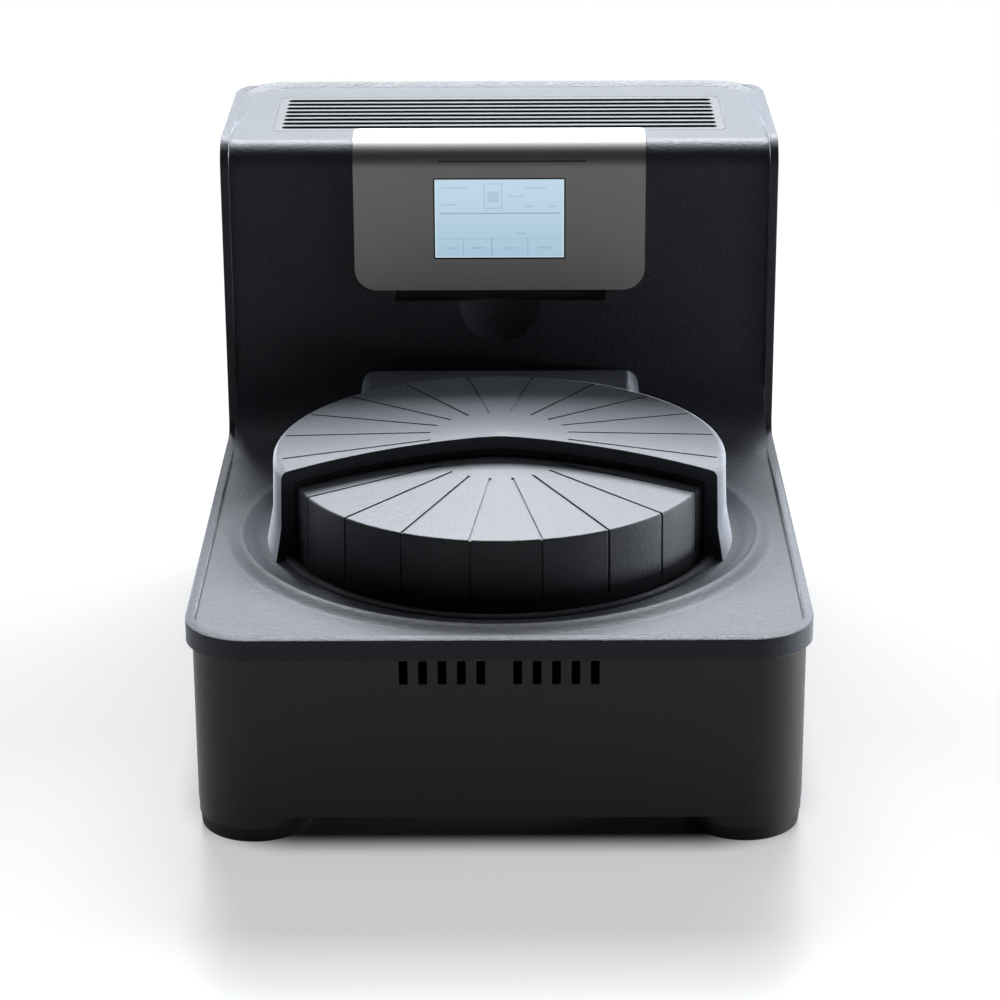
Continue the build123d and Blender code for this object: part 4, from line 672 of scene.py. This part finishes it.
def makeRearRim(look):
    # quarter circle: rounding times the sine outwards, rounding times the cosine upwards
    turn = np.linspace(0, np.pi / 2, look["quarter"])
    reach = look["width"] - look["rounding"]
    edge = np.stack([reach + look["rounding"] * np.sin(turn),
                     look["top"] - look["rounding"] + look["rounding"] * np.cos(turn)], 1)
    slope = [(look["seat"], look["foot"]), (-look["slope"], look["inside"] - look["shoulder"]),
             (-look["slope"], look["inside"]), (-look["crown"], look["top"] - look["crownDrop"]),
             (look["crown"], look["top"])]
    profile = np.concatenate([slope, edge, [(look["width"], look["foot"])]])
    path, outward = borderPath(border["half"], border["rear"], border["corner"], look["start"], look["steps"])
    grown = easeArray(path[:, 1], look["start"], look["grown"])[:, None]
    profile = np.repeat(profile[None], len(path), 0)
    profile[:, 1:4, 0] *= grown
    makeSurface("rearRim", carried(path, outward, profile), coverFinish)


makeRearRim(rearRim)


# bead round the chamber opening, from one foot of the hood to the other: an ellipse half sunk, lower in front
chamberLip = {"radius": 0.1485, "halfWide": 0.0032, "height": 0.0034, "middle": 0.0022, "floor": 0.1390,
              "reach": 71.5, "steps": 97, "around": 24}


def makeChamberLip(look):
    # ellipse: halfWide times the cosine outwards, height times the sine upwards; height grows as away squared
    path, outward, away = ringPath(look["radius"], look["reach"], look["steps"])
    turn = np.linspace(0, 2 * np.pi, look["around"], endpoint=False)
    height = look["middle"] + (look["height"] - look["middle"]) * (away / look["reach"])[:, None] ** 2
    profile = np.stack(np.broadcast_arrays(look["halfWide"] * np.cos(turn),
                                           look["floor"] + height * np.sin(turn)), 2)
    makeSurface("chamberLip", carried(path, outward, profile), coverFinish)


makeChamberLip(chamberLip)


# crest of the moat: the moulded ring's own height plus a low bell
moatCrest = {"inner": 0.1620, "peak": 0.1750, "outer": 0.1868, "lift": 0.0014, "full": 60, "gone": 112,
             "steps": 161, "rows": 26, "castLow": 0.1389, "castRadii": (0.1595, 0.1872), "sunk": 0.00004,
             "under": 0.0010}


def makeMoatCrest(look):
    # height = the moulding's own, plus lift times a bell that eases up from inner to peak and down to outer
    cast = np.empty(len(frame["nodes"]["upper_cover"].data.vertices) * 3, np.float32)
    frame["nodes"]["upper_cover"].data.vertices.foreach_get("co", cast)
    cast = cast.reshape(-1, 3)
    radius = np.hypot(cast[:, 0] - millAxis[0], cast[:, 1] - millAxis[1])
    near, far = look["castRadii"]
    ring = (cast[:, 1] < millAxis[1]) & (cast[:, 2] > look["castLow"]) & (radius > near) & (radius < far)
    order = np.argsort(radius[ring])
    rows = np.linspace(look["inner"], look["outer"], look["rows"])
    level = np.interp(rows, radius[ring][order], cast[ring][order][:, 2])
    bell = easeArray(rows, look["inner"], look["peak"]) * (1 - easeArray(rows, look["peak"], look["outer"]))
    path, outward, away = ringPath(1.0, look["gone"], look["steps"])
    lift = look["lift"] * (1 - easeArray(away, look["full"], look["gone"]))[:, None]
    top = level + lift * bell - look["sunk"]
    under = np.broadcast_to(level - look["under"], top.shape)
    reach = np.broadcast_to(rows, top.shape)
    profile = np.stack([np.concatenate([reach, reach[:, ::-1]], 1),
                        np.concatenate([top, under[:, ::-1]], 1)], 2)
    makeSurface("moatCrest", carried(np.zeros_like(path) + millAxis, outward, profile), coverFinish)


makeMoatCrest(moatCrest)


# thin dark rubber frame round the display window, painted shade laid where the gap between window and panel
# is in shade; its profile points outwards and then from front to back
shadeGapGasket = {"half": 0.0474, "bottom": 0.277, "top": 0.337, "corner": 0.0012,
          "profile": [(0.00015, 0.09895), (-0.0007, 0.09895), (-0.0009, 0.0991), (-0.0009, 0.0997),
                      (0.0, 0.0997)]}


def makeShadeGapGasket(look):
    path, outward = loopPath(look["half"], look["bottom"], look["top"], look["corner"])
    points = carried(path, outward, np.array(look["profile"]))
    # painted shade: the frame is drawn in the near-black seal rubber
    makeSurface("windowShadeGapGasket", points[:, :, [0, 2, 1]], sealFinish, closed=True)


makeShadeGapGasket(shadeGapGasket)
print("trim made")


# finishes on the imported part's nodes: by node where one is named, otherwise by slot
slotFinishes = {
    "housing_paint": housingFinish, "cover_plastic": coverFinish, "panel_metal": panelFinish,
    "foot_rubber": footFinish, "seal_rubber": sealFinish, "grille_plastic": grilleFinish,
    "window_glass": windowFinish, "module_plastic": moduleFinish, "rocker_plastic": rockerFinish,
    "board_laminate": boardFinish, "sheet_steel": sheetFinish, "guide_plastic": guideFinish,
    "machined_aluminium": aluminiumFinish, "motor_paint": motorFinish, "bright_steel": brightFinish,
    "bowl_steel": bowlFinishes["left"], "clamp_metal": clampFinish,
}
nodeFinishes = {"turning_lid": lidFinish, "chamber_hood": lidFinish, "display_module": displayFinish,
                "mains_inlet": inletFinish}
for side in ("left", "right"):
    nodeFinishes.update({piece + side: bowlFinishes[side]
                         for piece in ("bowl_", "bowl_lid_", "grinding_balls_")})
    nodeFinishes.update({piece + side: holderFinishes[side] for piece in ("bowl_holder_", "planet_pulley_")})

for part in frame["record"]["subparts"]:
    finish = nodeFinishes.get(part["node"], slotFinishes[part["material_slot"]])
    data = frame["nodes"][part["node"]].data
    data.materials.clear()
    data.materials.append(finish.material)
print("nodes finished")


# floor: its own glow fades in round a footprint with round corners, so part of the dark line where the object
# stands comes from this and not from shadow
floorLook = {"half": 7.0, "tone": grey(0.40), "rough": 0.25, "glow": 0.56, "near": 0.45, "far": 1.5,
             "footprint": (0.185, 0.270), "corner": 0.06, "contact": 0.035}
worldLook = {"fill": (0.94, 0.96, 1.0), "fillStrength": 0.01, "background": 1.0,
             "backdrop": (-0.2, 0.5)}
# lamps: powers are fitted to the photo's tones and are not at a plain level. A grey card reads 2.0 times its
# tone on the plate, 3.3 times on the roof and 0.11 times in front
softLights = {
    "rear": {"place": (0.0, 1.47, 1.75), "aim": (0.0, -0.05, 0.15), "size": (1.6, 0.8), "power": 152},
    "rearRight": {"place": (0.89, 1.22, 1.71), "aim": (0.0, -0.05, 0.15), "size": (0.6, 0.5), "power": 22},
    "above": {"place": (0.0, 0.15, 2.3), "aim": (0.0, -0.05, 0.15), "size": (1.2, 0.6), "power": 7},
    "right": {"place": (1.7, 0.1, 0.45), "aim": (0.0, -0.05, 0.15), "size": (0.5, 0.8), "power": 2.5},
    "rightLow": {"place": (1.2, 0.05, 0.07), "aim": (0.2, -0.15, 0.07), "size": (0.5, 0.1), "power": 11},
}


def makeFloor(look):
    corners = look["half"] * np.array([(-1, -1, 0), (1, -1, 0), (1, 1, 0), (-1, 1, 0)], float)
    mesh = bpy.data.meshes.new("floor")
    mesh.from_pydata(corners.tolist(), [], [(0, 1, 2, 3)])
    floor = bpy.data.objects.new("floor", mesh)
    bpy.context.collection.objects.link(floor)
    made = Finish("paleFloor", {"Base Color": look["tone"], "Roughness": look["rough"]})
    rays = made.node("ShaderNodeLightPath", {}, {})
    seen = Signal(made.tree, rays.outputs["Is Camera Ray"])
    mirrored = Signal(made.tree, rays.outputs["Is Glossy Ray"])
    passed = Signal(made.tree, rays.outputs["Is Transmission Ray"])
    glow = made.node("ShaderNodeEmission", {}, {"Color": grey(1.0), "Strength": 1.0})
    x, y, z = made.axes()
    away = ((x * x + y * y) ** 0.5).ease(look["near"], look["far"])      # pure white far from the object
    wide, deep = look["footprint"]
    over = (abs(x) - (wide - look["corner"])).larger(0), (abs(y) - (deep - look["corner"])).larger(0)
    outside = ((over[0] * over[0] + over[1] * over[1]) ** 0.5 - look["corner"]).ease(0, look["contact"])
    share = outside * (look["glow"] + (1 - look["glow"]) * away)
    blend = made.node("ShaderNodeMixShader", {}, {0: share * seen.larger(mirrored).larger(passed),
                                                  1: made.shader.outputs[0], 2: glow.outputs[0]})
    made.tree.links.new(blend.outputs[0], made.end.inputs["Surface"])
    mesh.materials.append(made.material)


def makeWorld(look):
    world = bpy.data.worlds.new("studio")
    bpy.context.scene.world = world
    world.use_nodes = True
    tree = world.node_tree
    tree.nodes.clear()
    rays = addNode(tree, "ShaderNodeLightPath", {}, {})
    seen = Signal(tree, rays.outputs["Is Camera Ray"])
    mirrored = Signal(tree, rays.outputs["Is Glossy Ray"])
    passed = Signal(tree, rays.outputs["Is Transmission Ray"])
    direction = addNode(tree, "ShaderNodeTexCoord", {}, {}).outputs["Generated"]
    split = addNode(tree, "ShaderNodeSeparateXYZ", {}, {0: direction})
    # the white backdrop hangs behind the object
    behind = Signal(tree, split.outputs[1]).ease(*look["backdrop"])
    fill = addNode(tree, "ShaderNodeBackground", {}, {"Color": (*look["fill"], 1.0),
                                                      "Strength": look["fillStrength"]})
    white = addNode(tree, "ShaderNodeBackground", {}, {"Color": grey(1.0), "Strength": look["background"]})
    choice = addNode(tree, "ShaderNodeMixShader", {}, {0: seen.larger(mirrored.larger(passed) * behind),
                                                       1: fill.outputs[0], 2: white.outputs[0]})
    addNode(tree, "ShaderNodeOutputWorld", {}, {"Surface": choice.outputs[0]})


lightColour = (0.92, 0.955, 1.0)


def makeLight(name, look):
    data = bpy.data.lights.new(name, "AREA")
    data.shape = "RECTANGLE"
    data.size, data.size_y = look["size"]
    data.energy = look["power"]
    data.color = lightColour
    light = bpy.data.objects.new(name, data)
    light.location = look["place"]
    aim = Vector(look["aim"]) - Vector(look["place"])
    light.rotation_euler = aim.to_track_quat("-Z", "Y").to_euler()
    light.visible_camera = False
    bpy.context.collection.objects.link(light)


makeFloor(floorLook)
makeWorld(worldLook)
for name, look in softLights.items():
    makeLight(name, look)
print("floor and light ready")
